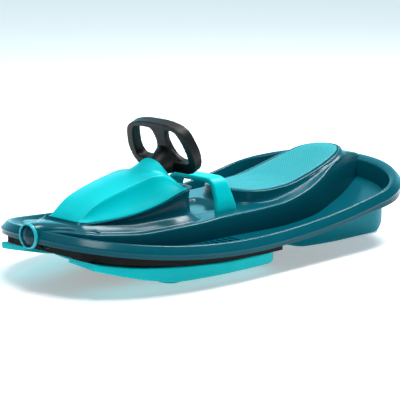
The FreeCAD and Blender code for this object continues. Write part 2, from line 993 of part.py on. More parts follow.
# Crank and tie plate
def crank_arm():
    low = crank_at - crank_thickness / 2.0
    arm = Part.makeBox(crank_width, crank_length, crank_thickness, V(-crank_width / 2.0, -crank_length, low))
    hub = shaft_rod(crank_hub_radius, low, low + crank_thickness)
    crank = hub.fuse(arm).cut(shaft_rod(shaft_radius, 0.0, shaft_end))
    ball = Part.makeSphere(ball_radius, V(0.0, -crank_length, crank_at))
    return on_column(crank.fuse(ball).removeSplitter())


def pin_x():
    """The steering pins stand behind the kingpins, so a turn of the wheel to the left turns the skis left."""
    return kingpin_x - pin_reach


def tie_plate():
    """Sliding plate shaped like a T: a cross bar over the steering pins and a tongue to the crank's ball."""
    bar = box(
        pin_x() - bar_half_width, pin_x() + bar_half_width, -bar_half_length, bar_half_length, deep_z, high_z
    )
    tongue = box(pin_x(), tongue_front_x, -tongue_half_width, tongue_half_width, deep_z, high_z)
    plate = bar.fuse(tongue).common(below(rim_line(), bar_thickness - bar_drop))
    inner = ball_radius + fork_gap
    lug = box(fork_rear_x, fork_front_x, inner, inner + fork_wall, deep_z, fork_top_z)
    plate = plate.multiFuse(both(lug)).common(above(rim_line(), -bar_drop))
    reach = pin_radius + slot_play
    rear, front = pin_x() - slot_half_length, pin_x() + slot_half_length
    slot = box(rear, front, kingpin_y - reach, kingpin_y + reach, deep_z, high_z)
    return plate.cut(Part.makeCompound(both(slot))).removeSplitter()


def guide_screw_places():
    outer = bar_half_width + guide_gap + guide_wall + guide_foot / 2.0
    return ((pin_x() - outer, guide_y), (pin_x() + outer, guide_y))


def frame_floor(rise=0.0):
    return -frame_drop + frame_plate + rise


def guide_block(half_length, top):
    right, left = guide_y - guide_width / 2.0, guide_y + guide_width / 2.0
    block = box(pin_x() - half_length, pin_x() + half_length, right, left, deep_z, high_z)
    return block.common(below(rim_line(), top))


def tie_plate_guides():
    channel_top = bar_thickness - bar_drop + guide_gap
    inside = bar_half_width + guide_gap
    arch = guide_block(inside + guide_wall, channel_top + guide_wall)
    foot = guide_block(inside + guide_wall + guide_foot, frame_floor(guide_wall))
    guide = arch.fuse(foot).common(above(rim_line(), frame_floor())).cut(guide_block(inside, channel_top))
    holes = [post(screw_radius, x, y, deep_z, high_z) for x, y in guide_screw_places()]
    return Part.makeCompound(both(guide.cut(Part.makeCompound(holes)).removeSplitter()))


def guide_screws():
    screws = []
    for x, y in guide_screw_places():
        plate = rim_z(x) + frame_floor()
        screws += both(screw(x, y, plate + guide_wall + screw_seat, plate - frame_plate + screw_seat))
    return Part.makeCompound(screws)


# Skis
def ski_prism(inset):
    outer = [
        (ski_front_x - inset, ski_front_outer_y - inset),
        (400.0, 213.0 - inset),
        (254.0, 247.0 - inset),
        (150.0, 259.0 - inset),
        (40.0, ski_rear_outer_y - inset),
    ]
    inner = [
        (ski_rear_x + inset, ski_rear_inner_y + inset),
        (kingpin_x, ski_waist_y + inset),
        (ski_front_x - inset, ski_front_inner_y + inset),
    ]
    heel = [
        outer[-1],
        (ski_rear_x + 10.0 + inset, ski_rear_outer_y - 8.0 - inset),
        (ski_rear_x + inset, ski_heel_y),
        inner[0],
    ]
    edges = [plan_spline(outer, deep_z), plan_spline(inner, deep_z)]
    edges += [Part.makeLine(V(*a, deep_z), V(*b, deep_z)) for a, b in zip(heel, heel[1:])]
    edges.append(Part.makeLine(V(*inner[-1], deep_z), V(*outer[0], deep_z)))
    return Part.Face(Part.Wire(Part.__sortEdges__(edges))).extrude(V(0.0, 0.0, high_z - deep_z))


def ski():
    inside_sole = ski_wall / 2.0
    body = ski_prism(0.0).common(below(ski_top_line())).common(above(ski_bottom_line()))
    hollow = ski_prism(ski_wall).common(above(ski_bottom_line(), ski_wall))
    left = kingpin_y + keel_half_width
    keel = box(keel_rear_x, keel_front_x, left - 2.0 * keel_half_width, left, deep_z, high_z)
    keel = keel.common(above(keel_points(), 0.0, False)).common(below(ski_bottom_line(), inside_sole))
    hub = post(ski_hub_radius, kingpin_x, kingpin_y, ski_sole_z + inside_sole, ski_hub_top_z)
    boss = post(pin_boss_radius, pin_x(), kingpin_y, ski_sole_z + inside_sole, pin_boss_top_z)
    body = body.cut(hollow).multiFuse([keel, hub, boss])
    body = body.cut(post(kingpin_radius, kingpin_x, kingpin_y, kingpin_bottom_z, high_z))
    return body.cut(post(pin_radius, pin_x(), kingpin_y, pin_bottom_z, high_z)).removeSplitter()


def kingpin():
    return post(kingpin_radius, kingpin_x, kingpin_y, kingpin_bottom_z, kingpin_top_z)


def steering_pin():
    return post(pin_radius, pin_x(), kingpin_y, pin_bottom_z, pin_top_z)


def washer(low):
    start = V(kingpin_x, kingpin_y, low)
    return ring(washer_radius, kingpin_radius, start, start + V(0.0, 0.0, washer_thickness))


def ski_washers():
    upper = frame_boss_top_z + 2.0 * running_gap
    return Part.makeCompound([washer(ski_hub_top_z), washer(upper)])


def kingpin_nut():
    low = frame_boss_top_z + 2.0 * running_gap + washer_thickness
    nut = hexagon(nut_flat_radius, kingpin_x, kingpin_y, low, low + nut_height)
    return nut.cut(kingpin())


def kingpin_bushes():
    start = V(kingpin_x, kingpin_y, frame_boss_bottom_z)
    end = V(kingpin_x, kingpin_y, frame_boss_top_z)
    bush = ring(kingpin_radius + bush_wall, kingpin_radius + running_gap, start, end)
    return Part.makeCompound(both(bush))


# Subframe
def hull_prism(inset):
    return stacked([hull_ring(inset, lambda x: deep_z), hull_ring(inset, lambda x: high_z)])


def swing_slot():
    """Curved slot behind the kingpin that the ski's steering pin swings in."""
    width = pin_radius + swing_gap
    low = V(kingpin_x, kingpin_y, deep_z)
    up = V(0.0, 0.0, 1.0)
    slot = Part.makeCylinder(pin_reach + width, high_z - deep_z, low, up, 2.0 * swing_limit)
    slot = slot.cut(post(pin_reach - width, kingpin_x, kingpin_y, deep_z, high_z))
    slot.rotate(low, up, 180.0 - swing_limit)
    ends = []
    for turn in (-swing_limit, swing_limit):
        angle = math.radians(180.0 + turn)
        x = kingpin_x + pin_reach * math.cos(angle)
        y = kingpin_y + pin_reach * math.sin(angle)
        ends.append(post(width, x, y, deep_z, high_z))
    return slot.multiFuse(ends)


def frame_tray():
    """Plate with a low wall above its edge and an apron below it that hides the steering."""
    front_x = frame_front_x - frame_wall
    reach = box(frame_rear_x, frame_front_x, -far_y, far_y, deep_z, high_z)
    upper_bay = box(frame_rear_x + frame_wall, front_x, -far_y, far_y, deep_z, high_z)
    lower_bay = box(-far_x, front_x, -far_y, far_y, deep_z, high_z)
    tray = hull_prism(frame_inset).common(reach).common(above(apron_line()))
    tray = tray.common(below(rim_line(), -frame_drop + frame_lip))
    inside = hull_prism(frame_inset + frame_wall)
    tray = tray.cut(inside.common(upper_bay).common(above(rim_line(), frame_floor())))
    return tray.cut(inside.common(lower_bay).common(below(rim_line(), -frame_drop)))


def front_subframe():
    tray = frame_tray()
    notch = box(deep_z, frame_notch_x, -frame_notch_half, frame_notch_half, deep_z, high_z)
    tray = tray.cut(notch).cut(nose_rod(barrel_radius + frame_wall, barrel_rear_x, far_x))
    boss = post(frame_boss_radius, kingpin_x, kingpin_y, frame_boss_bottom_z, frame_boss_top_z)
    posts = both(boss)
    for x, y in frame_post_places:
        column = post(frame_post_radius, x, y, deep_z, high_z).common(above(rim_line(), -frame_drop))
        posts += both(column.common(below(floor_line(), -wall)))
    tray = tray.multiFuse(posts)
    cuts = both(post(kingpin_radius + bush_wall, kingpin_x, kingpin_y, deep_z, high_z)) + both(swing_slot())
    for x, y in frame_post_places:
        low = rim_z(x) - frame_drop
        head = post(screw_head_radius + running_gap, x, y, deep_z, low + screw_head_height + 1.0)
        cuts += both(head) + both(post(screw_radius, x, y, deep_z, high_z))
    for x, y in guide_screw_places():
        cuts += both(post(screw_radius, x, y, deep_z, high_z))
    return tray.cut(Part.makeCompound(cuts)).removeSplitter()


def frame_screws():
    screws = []
    for x, y in frame_post_places:
        low = rim_z(x) - frame_drop + screw_head_height + 1.0
        tip = line_height(floor_line(), x) - wall + screw_bite
        screws += both(screw(x, y, low, tip))
    return Part.makeCompound(screws)


# Brake
def brake_handle():
    outer_y = handle_inner_y + handle_thickness
    bottom = axle_z - handle_hub_radius
    outer = [
        (outer_y, bottom),
        (outer_y, axle_z + handle_bend_rise),
        (handle_top_half + 1.5 * handle_thickness, handle_top_z - handle_corner),
        (handle_top_half + 1.5 * handle_thickness - 1.3 * handle_corner, handle_top_z),
    ]
    inner = [
        (handle_top_half - 1.25 * handle_thickness, handle_top_z - handle_thickness),
        (handle_top_half + 0.25 * handle_thickness, handle_top_z - handle_corner - 0.75 * handle_thickness),
        (handle_inner_y, axle_z + handle_bend_rise - handle_thickness / 2.0),
        (handle_inner_y, bottom),
    ]
    half = outer + [(-y, z) for y, z in reversed(outer)]
    hole = [(-y, z) for y, z in reversed(inner)] + inner
    ring_points = half + hole
    corners = [V(axle_x - handle_foot_width, y, z) for y, z in ring_points]
    band = Part.Face(Part.makePolygon(corners + corners[:1])).extrude(V(2.0 * handle_foot_width, 0.0, 0.0))
    foot = handle_foot_width / 2.0
    top = handle_top_width / 2.0
    hub = handle_hub_radius
    right = [(hub, bottom), (foot, axle_z + handle_widest_rise), (top, handle_top_z)]
    taper = right + [(-x, z) for x, z in reversed(right)]
    corners = [V(axle_x + x, -far_y, z) for x, z in taper]
    side = Part.Face(Part.makePolygon(corners + corners[:1])).extrude(V(0.0, 2.0 * far_y, 0.0))
    return band.common(side).cut(cross_rod(axle_radius, axle_x, axle_z, -far_y, far_y))


def brake_axle():
    return cross_rod(axle_radius, axle_x, axle_z, -axle_half_length, axle_half_length)


def claw_outline():
    slope = math.radians(claw_angle)
    along = V(-math.cos(slope), 0.0, -math.sin(slope))
    side = V(math.sin(slope), 0.0, -math.cos(slope))
    start = V(axle_x, 0.0, axle_z)
    half = claw_width / 2.0
    return [
        start + side * half,
        start + along * (claw_length - claw_hook) + side * half,
        start + along * claw_length + side * (half + claw_tip),
        start + along * claw_length + side * (half + claw_tip / 6.0),
        start + along * (claw_length - claw_tip) - side * half,
        start - side * half,
    ]


def brake_claws():
    corners = claw_outline()
    blade = Part.Face(Part.makePolygon(corners + corners[:1])).extrude(V(0.0, claw_thickness, 0.0))
    blade.translate(V(0.0, claw_y, 0.0))
    hub_end = claw_y + claw_thickness + claw_hub_reach
    hub = cross_rod(claw_hub_radius, axle_x, axle_z, claw_y - claw_hub_reach, hub_end)
    claw = blade.fuse(hub).cut(cross_rod(axle_radius, axle_x, axle_z, -far_y, far_y))
    return Part.makeCompound(both(claw.removeSplitter()))


def block_screw_places():
    reach = block_half_length - screw_head_radius - 0.5
    y = block_inner_y + block_thickness / 2.0
    return ((axle_x - reach, y), (axle_x + reach, y))


def axle_blocks():
    low = axle_z - handle_hub_radius
    outer = block_inner_y + block_thickness
    block = box(axle_x - block_half_length, axle_x + block_half_length, block_inner_y, outer, low, high_z)
    block = block.common(below(deck_line(), -wall))
    block = block.cut(cross_rod(axle_radius + running_gap, axle_x, axle_z, -far_y, far_y))
    for x, y in block_screw_places():
        block = block.cut(post(screw_radius, x, y, deep_z, high_z))
    return Part.makeCompound(both(block))


def block_screws():
    screws = []
    for x, y in block_screw_places():
        tip = line_height(deck_line(), x) - wall + screw_bite
        screws += both(screw(x, y, axle_z - handle_hub_radius, tip))
    return Part.makeCompound(screws)


def brake_spring():
    """Close-wound torsion coil round the axle with one leg up to the underside of the deck pocket."""
    axis = V(0.0, 1.0, 0.0)
    pitch = 1.8 * spring_wire
    centres = [V(axle_x, spring_y + n * pitch, axle_z) for n in range(spring_turns)]
    turns = [Part.makeTorus(spring_coil_radius, spring_wire, centre, axis) for centre in centres]
    leg = post(spring_wire, axle_x + spring_coil_radius, centres[-1].y, axle_z, high_z)
    return leg.common(below(deck_line(), -deck_pocket_depth - wall)).multiFuse(turns)


# Rear runner
def runner_prism(inset):
    points = [
        (runner_front_x - inset, runner_front_y - inset),
        (-234.0, 146.0 - inset),
        (-325.0, runner_rear_y - 3.0 - inset),
        (-493.0, runner_rear_y - inset),
        (runner_rear_x + inset, runner_rear_y - 9.0 - inset),
    ]
    return polygon_prism(symmetric(points), deep_z, high_z)


def rear_runner():
    bottom = runner_bottom_points()
    bottom = [(x, z) for x, z in reversed(bottom)]
    roof = below(floor_line(), -wall)
    runner = runner_prism(0.0).common(above(bottom, 0.0, False)).common(roof)
    runner = runner.cut(runner_prism(runner_wall).common(above(bottom, runner_wall, False)))
    posts = []
    for x, y in runner_post_places:
        column = post(runner_post_radius, x, y, runner_wall / 2.0, high_z).common(roof)
        posts += both(column)
    runner = runner.multiFuse(posts)
    cuts = []
    for x, y in runner_post_places:
        cuts += both(post(screw_head_radius + running_gap, x, y, deep_z, screw_head_height + 1.0))
        cuts += both(post(screw_radius, x, y, deep_z, high_z))
    return runner.cut(Part.makeCompound(cuts)).removeSplitter()


def runner_screws():
    screws = []
    for x, y in runner_post_places:
        tip = line_height(floor_line(), x) - wall + screw_bite
        screws += both(screw(x, y, screw_head_height + 1.0, tip))
    return Part.makeCompound(screws)


# Tow knob and reel
def nose_bezel():
    seat_x = bezel_front_x - bezel_length
    sleeve = nose_rod(barrel_radius - wall, seat_x - bezel_sleeve, barrel_front_x)
    flange = nose_rod(bezel_radius, barrel_front_x, bezel_front_x)
    bore = nose_rod(knob_radius + knob_gap, seat_x - bezel_sleeve / 4.0, bezel_front_x)
    return sleeve.fuse(flange).cut(bore).cut(nose_rod(knob_stem_radius + 2.0 * knob_gap, 0.0, far_x))


def tow_knob():
    face_x = bezel_front_x + knob_proud - knob_cone
    disc = nose_rod(knob_radius, face_x - knob_depth, face_x)
    cone = Part.makeCone(knob_radius, knob_tip_radius, knob_cone, V(face_x, 0.0, barrel_z), V(1.0, 0.0, 0.0))
    stem = nose_rod(knob_stem_radius, face_x - knob_stem_length, face_x)
    return disc.multiFuse([cone, stem]).removeSplitter()


def reel_pin_x():
    """Middle of the housing's rear flange, where the pins hold it in the barrel."""
    return reel_x - reel_radius - reel_flange / 6.0


def reel_housing():
    shell = cross_rod(reel_radius, reel_x, barrel_z, -reel_half_width, reel_half_width)
    inner = reel_half_width - reel_wall
    hollow = cross_rod(reel_radius - reel_wall, reel_x, barrel_z, -inner, inner)
    rear_x = reel_x - reel_radius
    front_x = reel_x + reel_radius
    flange = nose_rod(barrel_radius - wall, rear_x - reel_flange * 2.0 / 3.0, rear_x + reel_flange / 3.0)
    snout = nose_rod(reel_snout_radius, front_x - reel_wall - 1.5, front_x + reel_snout_length)
    housing = shell.multiFuse([flange, snout]).cut(hollow)
    housing = housing.cut(nose_rod(cord_hole_radius, reel_x, far_x))
    pin = cross_rod(reel_pin_radius, reel_pin_x(), barrel_z, -far_y, far_y)
    axle = cross_rod(reel_axle_radius, reel_x, barrel_z, -far_y, far_y)
    return housing.cut(pin).cut(axle).removeSplitter()


def reel_pins():
    pin = cross_rod(reel_pin_radius, reel_pin_x(), barrel_z, barrel_radius - reel_pin_length, barrel_radius)
    return Part.makeCompound(both(pin))


def reel_axle():
    return cross_rod(reel_axle_radius, reel_x, barrel_z, -reel_half_width, reel_half_width)


def cord_drum():
    low = -reel_half_width + reel_wall + drum_gap
    top = low + drum_flange + drum_width
    drum = cross_rod(drum_radius, reel_x, barrel_z, low, top + drum_flange)
    for start in (low, top):
        drum = drum.fuse(cross_rod(drum_flange_radius, reel_x, barrel_z, start, start + drum_flange))
    bore = cross_rod(reel_axle_radius + running_gap, reel_x, barrel_z, -far_y, far_y)
    return drum.cut(bore).removeSplitter()


def spiral(shift):
    points = []
    for n in range(8 * reel_spring_turns + 1):
        turn = n * math.pi / 4.0
        radius = reel_axle_radius + 2.0 + shift + 3.2 * turn / (2.0 * math.pi)
        points.append(V(reel_x + radius * math.cos(turn), 0.0, barrel_z + radius * math.sin(turn)))
    curve = Part.BSplineCurve()
    curve.interpolate(Points=points)
    return curve.toShape()


def reel_spring():
    inner = spiral(0.0)
    outer = spiral(reel_spring_wall)
    ends = [Part.makeLine(inner.Vertexes[n].Point, outer.Vertexes[n].Point) for n in (0, 1)]
    face = Part.Face(Part.Wire(Part.__sortEdges__([inner, outer] + ends)))
    low = -reel_half_width + reel_wall + drum_width + 2.0 * drum_flange + 2.0 * drum_gap
    face.translate(V(0.0, low, 0.0))
    return face.extrude(V(0.0, reel_half_width - reel_wall - low, 0.0))


os.makedirs("parts", exist_ok=True)
left_and_right = (("left", lambda shape: shape), ("right", mirrored))
save("hull_shell", hull_shell())
save("console_hood", console_hood())
save("hood_screws", hood_screws())
save("seat_pad", seat_pad())
save("steering_wheel", steering_wheel())
save("hub_cap", hub_cap())
save("wheel_screw", wheel_screw())
save("steering_shaft", steering_shaft())
save("upper_column_bush", column_bush(upper_bracket_at))
save("lower_column_bush", column_bush(lower_bracket_at))
save("upper_column_bracket", upper_bracket())
save("lower_column_bracket", lower_bracket())
save("column_bracket_screws", console_screws(upper_foot_screws + lower_foot_screws))
save("crank_arm", crank_arm())
save("tie_plate", tie_plate())
save("tie_plate_guides", tie_plate_guides())
save("guide_screws", guide_screws())
for side, place in left_and_right:
    save(f"{side}_ski", place(ski()))
    save(f"{side}_kingpin", place(kingpin()))
    save(f"{side}_steering_pin", place(steering_pin()))
    save(f"{side}_ski_washers", place(ski_washers()))
    save(f"{side}_kingpin_nut", place(kingpin_nut()))
save("kingpin_bushes", kingpin_bushes())
save("front_subframe", front_subframe())
save("subframe_screws", frame_screws())
save("brake_handle", brake_handle())
save("brake_axle", brake_axle())
save("brake_claws", brake_claws())
save("axle_blocks", axle_blocks())
save("axle_block_screws", block_screws())
save("brake_spring", brake_spring())
save("rear_runner", rear_runner())
save("runner_screws", runner_screws())
save("nose_bezel", nose_bezel())
save("tow_knob", tow_knob())
save("reel_housing", reel_housing())
save("reel_pins", reel_pins())
save("reel_axle", reel_axle())
save("cord_drum", cord_drum())
save("reel_spring", reel_spring())
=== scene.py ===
import json
import math

import bmesh
import bpy
from mathutils import Matrix, Vector


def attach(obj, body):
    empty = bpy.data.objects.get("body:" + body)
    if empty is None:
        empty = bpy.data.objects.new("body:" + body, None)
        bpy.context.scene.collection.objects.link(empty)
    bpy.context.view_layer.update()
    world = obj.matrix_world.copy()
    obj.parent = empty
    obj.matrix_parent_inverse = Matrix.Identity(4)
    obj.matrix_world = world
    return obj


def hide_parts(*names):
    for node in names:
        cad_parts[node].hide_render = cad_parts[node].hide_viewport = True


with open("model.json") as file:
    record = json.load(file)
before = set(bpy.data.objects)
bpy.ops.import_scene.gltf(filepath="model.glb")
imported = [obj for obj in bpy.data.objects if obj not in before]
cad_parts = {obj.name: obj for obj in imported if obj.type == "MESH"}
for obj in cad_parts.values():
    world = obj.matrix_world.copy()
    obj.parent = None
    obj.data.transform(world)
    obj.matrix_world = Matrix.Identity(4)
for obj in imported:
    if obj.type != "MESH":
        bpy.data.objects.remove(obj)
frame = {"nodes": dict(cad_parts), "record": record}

bl_info = {
    "name": "Steering sled",
    "version": (1, 0, 0),
    "blender": (4, 5, 0),
    "location": "3D View > Sidebar > Sled",
    "description": "Builds a moulded steering sled with its wheel, skis, runner, brake and studio stage",
    "category": "Object",
}

# Plan of the hull: straight sides between two rounded ends. A higher power makes an end squarer.
BOW_START_X = 0.015
TAIL_START_X = -0.365
BOW_POWER = 2.7
TAIL_POWER = 2.2

# The rim's height: at the middle of the sled, its tilt there and how fast it rises to both ends.
RIM_MIDDLE_Z = 0.101
RIM_TILT = -0.0324
RIM_RISE = 0.21929

# How far a wall leans out over its height, and how much lower the skirt hangs at the tail.
WALL_DRAFT = 0.21
TAIL_SKIRT_DROP = 0.015

# The steering column leans back by this angle; the hub is where the wheel sits on it.
COLUMN_TILT = math.radians(22.0)
HUB = Vector((0.1265, 0.0, 0.2605))
SHROUD_MOUTH = Vector((0.168, 0.0, 0.224))
NOSE_AXIS_Z = 0.137

# Points closer than this are merged. A corner is rounded by at most this share of its side.
MERGE = 1e-6
ROUND_SHARE = 0.3

# Rounding of a moulded sheet's free edges, and the points round the plans of console and pad.
SHEET_EDGE = 0.0008
PLAN_POINTS = 140


def length_setting(name, description, default):
    """A size in metres for the sidebar."""
    return bpy.props.FloatProperty(name=name, description=description, default=default, unit="LENGTH")


def colour_setting(name, description, default):
    """A colour for the sidebar."""
    return bpy.props.FloatVectorProperty(
        name=name, description=description, default=default, size=3, subtype="COLOR"
    )


class SledSizes(bpy.types.PropertyGroup):
    """Sizes that a user may want to change, all in metres."""

    hull_half_width: length_setting("Hull half width", "From the middle to the skirt", 0.290)
    nose_x: length_setting("Nose", "Where the skirt ends in front", 0.571)
    tail_x: length_setting("Tail", "Where the skirt ends behind", -0.585)
    skirt_height: length_setting("Skirt height", "From the rim's top to the skirt's lower edge", 0.032)
    rim_width: length_setting("Rim width", "From the skirt to the well's wall", 0.022)
    tail_rim_extra: length_setting("Tail rim extra", "How much wider the rim is behind", 0.022)
    sheet: length_setting("Shell thickness", "Wall of the moulded shell", 0.003)
    shoulder: length_setting("Shoulder", "Rounding of the deck's edges", 0.007)
    pad_crown: length_setting("Pad crown", "How far the seat pad swells in the middle", 0.004)
    knurl_pitch: length_setting("Knurl pitch", "Size of the seat pad's diamonds", 0.0034)


class SledColours(bpy.types.PropertyGroup):
    """Colours of the finishes."""

    shell: colour_setting("Shell", "Glossy shell", (0.0005, 0.075, 0.104))
    trim: colour_setting("Trim", "Hood, bail and skis", (0.0, 0.50, 0.54))
    pad: colour_setting("Pad", "Seat pad", (0.003, 0.44, 0.50))
    black: colour_setting("Black", "Wheel and subframe", (0.004, 0.004, 0.0045))
    knob: colour_setting("Knob", "Tow knob", (0.005, 0.046, 0.070))
    # The runner colour is the trim turquoise darkened as painted shade under the hull.
    runner: colour_setting("Runner", "Rear runner", (0.0, 0.22, 0.28))
    bezel: colour_setting("Bezel", "Ring round the tow knob", (0.02, 0.44, 0.52))
    nylon: colour_setting("Nylon", "Bearing bushes", (0.62, 0.60, 0.54))
    steel: colour_setting("Steel", "Screws, pins and shafts", (0.52, 0.53, 0.55))


def sizes():
    """The sizes set in the scene."""
    return bpy.context.scene.sled_sizes


def colours():
    """The colours set in the scene."""
    return bpy.context.scene.sled_colours


def mix(a, b, t):
    """The value a share t of the way from a to b."""
    return a + (b - a) * t


def smooth_step(low, high, value):
    """Eases from 0 at low to 1 at high."""
    t = min(max((value - low) / (high - low), 0.0), 1.0)
    return t * t * (3.0 - 2.0 * t)


def squarer(wave, power):
    """A sine or cosine raised to a power below 1, which makes a circle squarer."""
    return math.copysign(abs(wave) ** power, wave)


def evenly(start, end, count):
    """Values that cut the way from start to end into count equal steps."""
    return [mix(start, end, n / count) for n in range(count + 1)]


def line(points):
    """A smooth curve through (x, value) pairs that never swings past them, level beyond its ends."""
    steps = [(b[1] - a[1]) / (b[0] - a[0]) for a, b in zip(points, points[1:])]
    slopes = steps[:1]
    for a, b in zip(steps, steps[1:]):
        slopes.append(2.0 * a * b / (a + b) if a * b > 0.0 else 0.0)
    slopes.append(steps[-1])

    def at(x):
        x = min(max(x, points[0][0]), points[-1][0])
        n = max(i for i in range(len(points) - 1) if points[i][0] <= x)
        span = points[n + 1][0] - points[n][0]
        t = (x - points[n][0]) / span
        start = points[n][1] * (1.0 + 2.0 * t) * (1.0 - t) ** 2 + slopes[n] * span * t * (1.0 - t) ** 2
        end = points[n + 1][1] * t * t * (3.0 - 2.0 * t) - slopes[n + 1] * span * t * t * (1.0 - t)
        return start + end

    return at


# Heights along the sled, as (x, z).
floor_z = line(
    [(-0.60, 0.1584), (-0.48, 0.1261), (-0.36, 0.1001), (-0.24, 0.0804), (-0.11, 0.075), (0.06, 0.079),
     (0.19, 0.0805), (0.268, 0.087), (0.36, 0.101), (0.44, 0.119), (0.54, 0.146)]
)
deck_z = line(
    [(-0.566, 0.189), (-0.54, 0.199), (-0.47, 0.211), (-0.396, 0.196), (-0.316, 0.168), (-0.23, 0.145),
     (-0.13, 0.131), (-0.02, 0.129), (0.06, 0.1295), (0.15, 0.126), (0.31, 0.126), (0.44, 0.138),
     (0.53, 0.150), (0.556, 0.149)]
)
console_z = line(
    [(0.115, 0.209), (0.173, 0.200), (0.25, 0.179), (0.332, 0.1648), (0.41, 0.1592), (0.491, 0.157)]
)
seat_z = line(
    [(-0.535, 0.229), (-0.46, 0.218), (-0.38, 0.196), (-0.30, 0.175), (-0.22, 0.160), (-0.15, 0.157),
     (-0.052, 0.161)]
)
ski_top_z = line(
    [(-0.008, 0.051), (0.14, 0.051), (0.268, 0.056), (0.40, 0.067), (0.46, 0.076), (0.53, 0.0905)]
)
ski_bottom_z = line(
    [(-0.008, 0.030), (0.035, 0.0215), (0.29, 0.021), (0.379, 0.032), (0.456, 0.051), (0.53, 0.074)]
)
keel_z = line([(0.06, 0.021), (0.12, 0.006), (0.20, 0.0), (0.268, 0.0), (0.31, 0.008), (0.345, 0.024)])
runner_bottom_z = line(
    [(-0.542, 0.070), (-0.526, 0.020), (-0.498, 0.0), (-0.235, 0.0), (-0.186, 0.010), (-0.140, 0.048)]
)

# Half widths along the sled, as (x, y).
deck_half = line(
    [(-0.566, 0.045), (-0.541, 0.052), (-0.505, 0.061), (-0.40, 0.097), (-0.25, 0.136), (-0.13, 0.147),
     (0.015, 0.148), (0.15, 0.148), (0.30, 0.142), (0.44, 0.122), (0.495, 0.110), (0.530, 0.070),
     (0.556, 0.032)]
)
ski_outer = line(
    [(0.002, 0.232), (0.012, 0.254), (0.04, 0.262), (0.15, 0.259), (0.254, 0.247), (0.40, 0.213),
     (0.52, 0.168)]
)
ski_inner = line([(0.002, 0.138), (0.268, 0.110), (0.52, 0.078)])

# The hood along the sled: half widths at its lower edge and crease, heights of its crease and crown.
hood_lower = line([(0.145, 0.103), (0.262, 0.101), (0.332, 0.094), (0.40, 0.081), (0.468, 0.059)])
hood_crease = line(
    [(0.163, 0.099), (0.172, 0.085), (0.184, 0.069), (0.205, 0.0625), (0.34, 0.060), (0.41, 0.055),
     (0.468, 0.047)]
)
hood_crease_z = line(
    [(0.163, 0.205), (0.172, 0.214), (0.184, 0.229), (0.205, 0.2385), (0.229, 0.240), (0.274, 0.233),
     (0.341, 0.218), (0.409, 0.1976), (0.455, 0.1700), (0.470, 0.158)]
)
hood_crown_z = line(
    [(0.145, 0.249), (0.262, 0.244), (0.332, 0.229), (0.40, 0.205), (0.45, 0.1765), (0.470, 0.160)]
)

# Half width and top of the barrel in the nose.
ridge_half = line(
    [(0.44, 0.100), (0.485, 0.078), (0.51, 0.055), (0.535, 0.040), (0.555, 0.032), (0.574, 0.0298)]
)
ridge_top = line(
    [(0.44, 0.147), (0.475, 0.154), (0.50, 0.1612), (0.535, 0.1645), (0.555, 0.166), (0.574, 0.1668)]
)

# Left halves of the plans of console and seat pad, from the front, as (x, y).
CONSOLE_PLAN = [
    (0.476, 0.0), (0.473, 0.050), (0.458, 0.064), (0.332, 0.089), (0.190, 0.101), (0.149, 0.096),
    (0.136, 0.077), (0.135, 0.0),
]
PAD_PLAN = [
    (-0.072, 0.0), (-0.080, 0.050), (-0.106, 0.077), (-0.175, 0.086), (-0.340, 0.080), (-0.420, 0.069),
    (-0.460, 0.051), (-0.480, 0.027), (-0.486, 0.0),
]

# The wheel's face seen along the column, as (left, up): outer half, one hand hole and the rim's inner half.
WHEEL_HALF = [
    (0.0, 0.110), (0.056, 0.106), (0.095, 0.090), (0.111, 0.054), (0.115, 0.021), (0.105, -0.010),
    (0.081, -0.025), (0.0, -0.027),
]
HAND_HOLE = [
    (0.020, 0.050), (0.025, 0.077), (0.043, 0.093), (0.064, 0.092), (0.080, 0.074), (0.088, 0.048),
    (0.091, 0.022), (0.081, 0.003), (0.055, 0.002), (0.031, 0.017),
]
WHEEL_INSIDE = [(0.0, 0.093), (0.062, 0.092), *HAND_HOLE[4:8], (0.0, 0.002)]


def rim_z(x):
    """Height of the hull's rim, which rises to both ends."""
    return RIM_MIDDLE_Z + RIM_TILT * x + RIM_RISE * x * x


def spread(points, count):
    """The same open path cut into count equal lengths."""
    reached = [0.0]
    for a, b in zip(points, points[1:]):
        reached.append(reached[-1] + math.dist(a, b))
    even = []
    n = 0
    for goal in evenly(0.0, reached[-1], count):
        while n < len(points) - 2 and reached[n + 1] < goal:
            n += 1
        t = (goal - reached[n]) / (reached[n + 1] - reached[n])
        even.append(tuple(mix(a, b, t) for a, b in zip(points[n], points[n + 1])))
    return even


def both_sides(half, flip=(1.0, -1.0)):
    """A closed loop from one half of it, which starts and ends on the middle line; flip turns it over."""
    return half + [(x * flip[0], y * flip[1]) for x, y in reversed(half[1:-1])]


def full_section(half):
    """A cross section from its left half, which starts on the middle line."""
    return [(x, -y, z) for x, y, z in reversed(half[1:])] + half


def hull_ends(inset):
    """Bow and tail of the hull's plan moved in by inset, each as its start, its reach and its power."""
    s = sizes()
    widening = smooth_step(0.5 * s.rim_width, s.rim_width, inset)
    bow = s.nose_x - inset - BOW_START_X
    tail = TAIL_START_X - s.tail_x - inset - s.tail_rim_extra * widening
    return (BOW_START_X, bow, BOW_POWER), (TAIL_START_X, -tail, TAIL_POWER)


def hull_loop(inset):
    """The hull's plan moved in by inset; the tail moves in more, where the rim is wider."""
    half = sizes().hull_half_width - inset
    # A power above 1 draws the points together near the middle line.
    closeness = 1.6
    quarter = [0.5 * math.pi * share ** closeness for share in evenly(0.0, 1.0, 90)]
    bow, tail = hull_ends(inset)
    path = []
    for (start, reach, power), angles in ((bow, quarter), (tail, reversed(quarter))):
        for angle in angles:
            x = start + reach * abs(math.cos(angle)) ** (2.0 / power)
            path.append((x, half * math.sin(angle) ** (2.0 / power)))
    return both_sides(spread(path, 110))


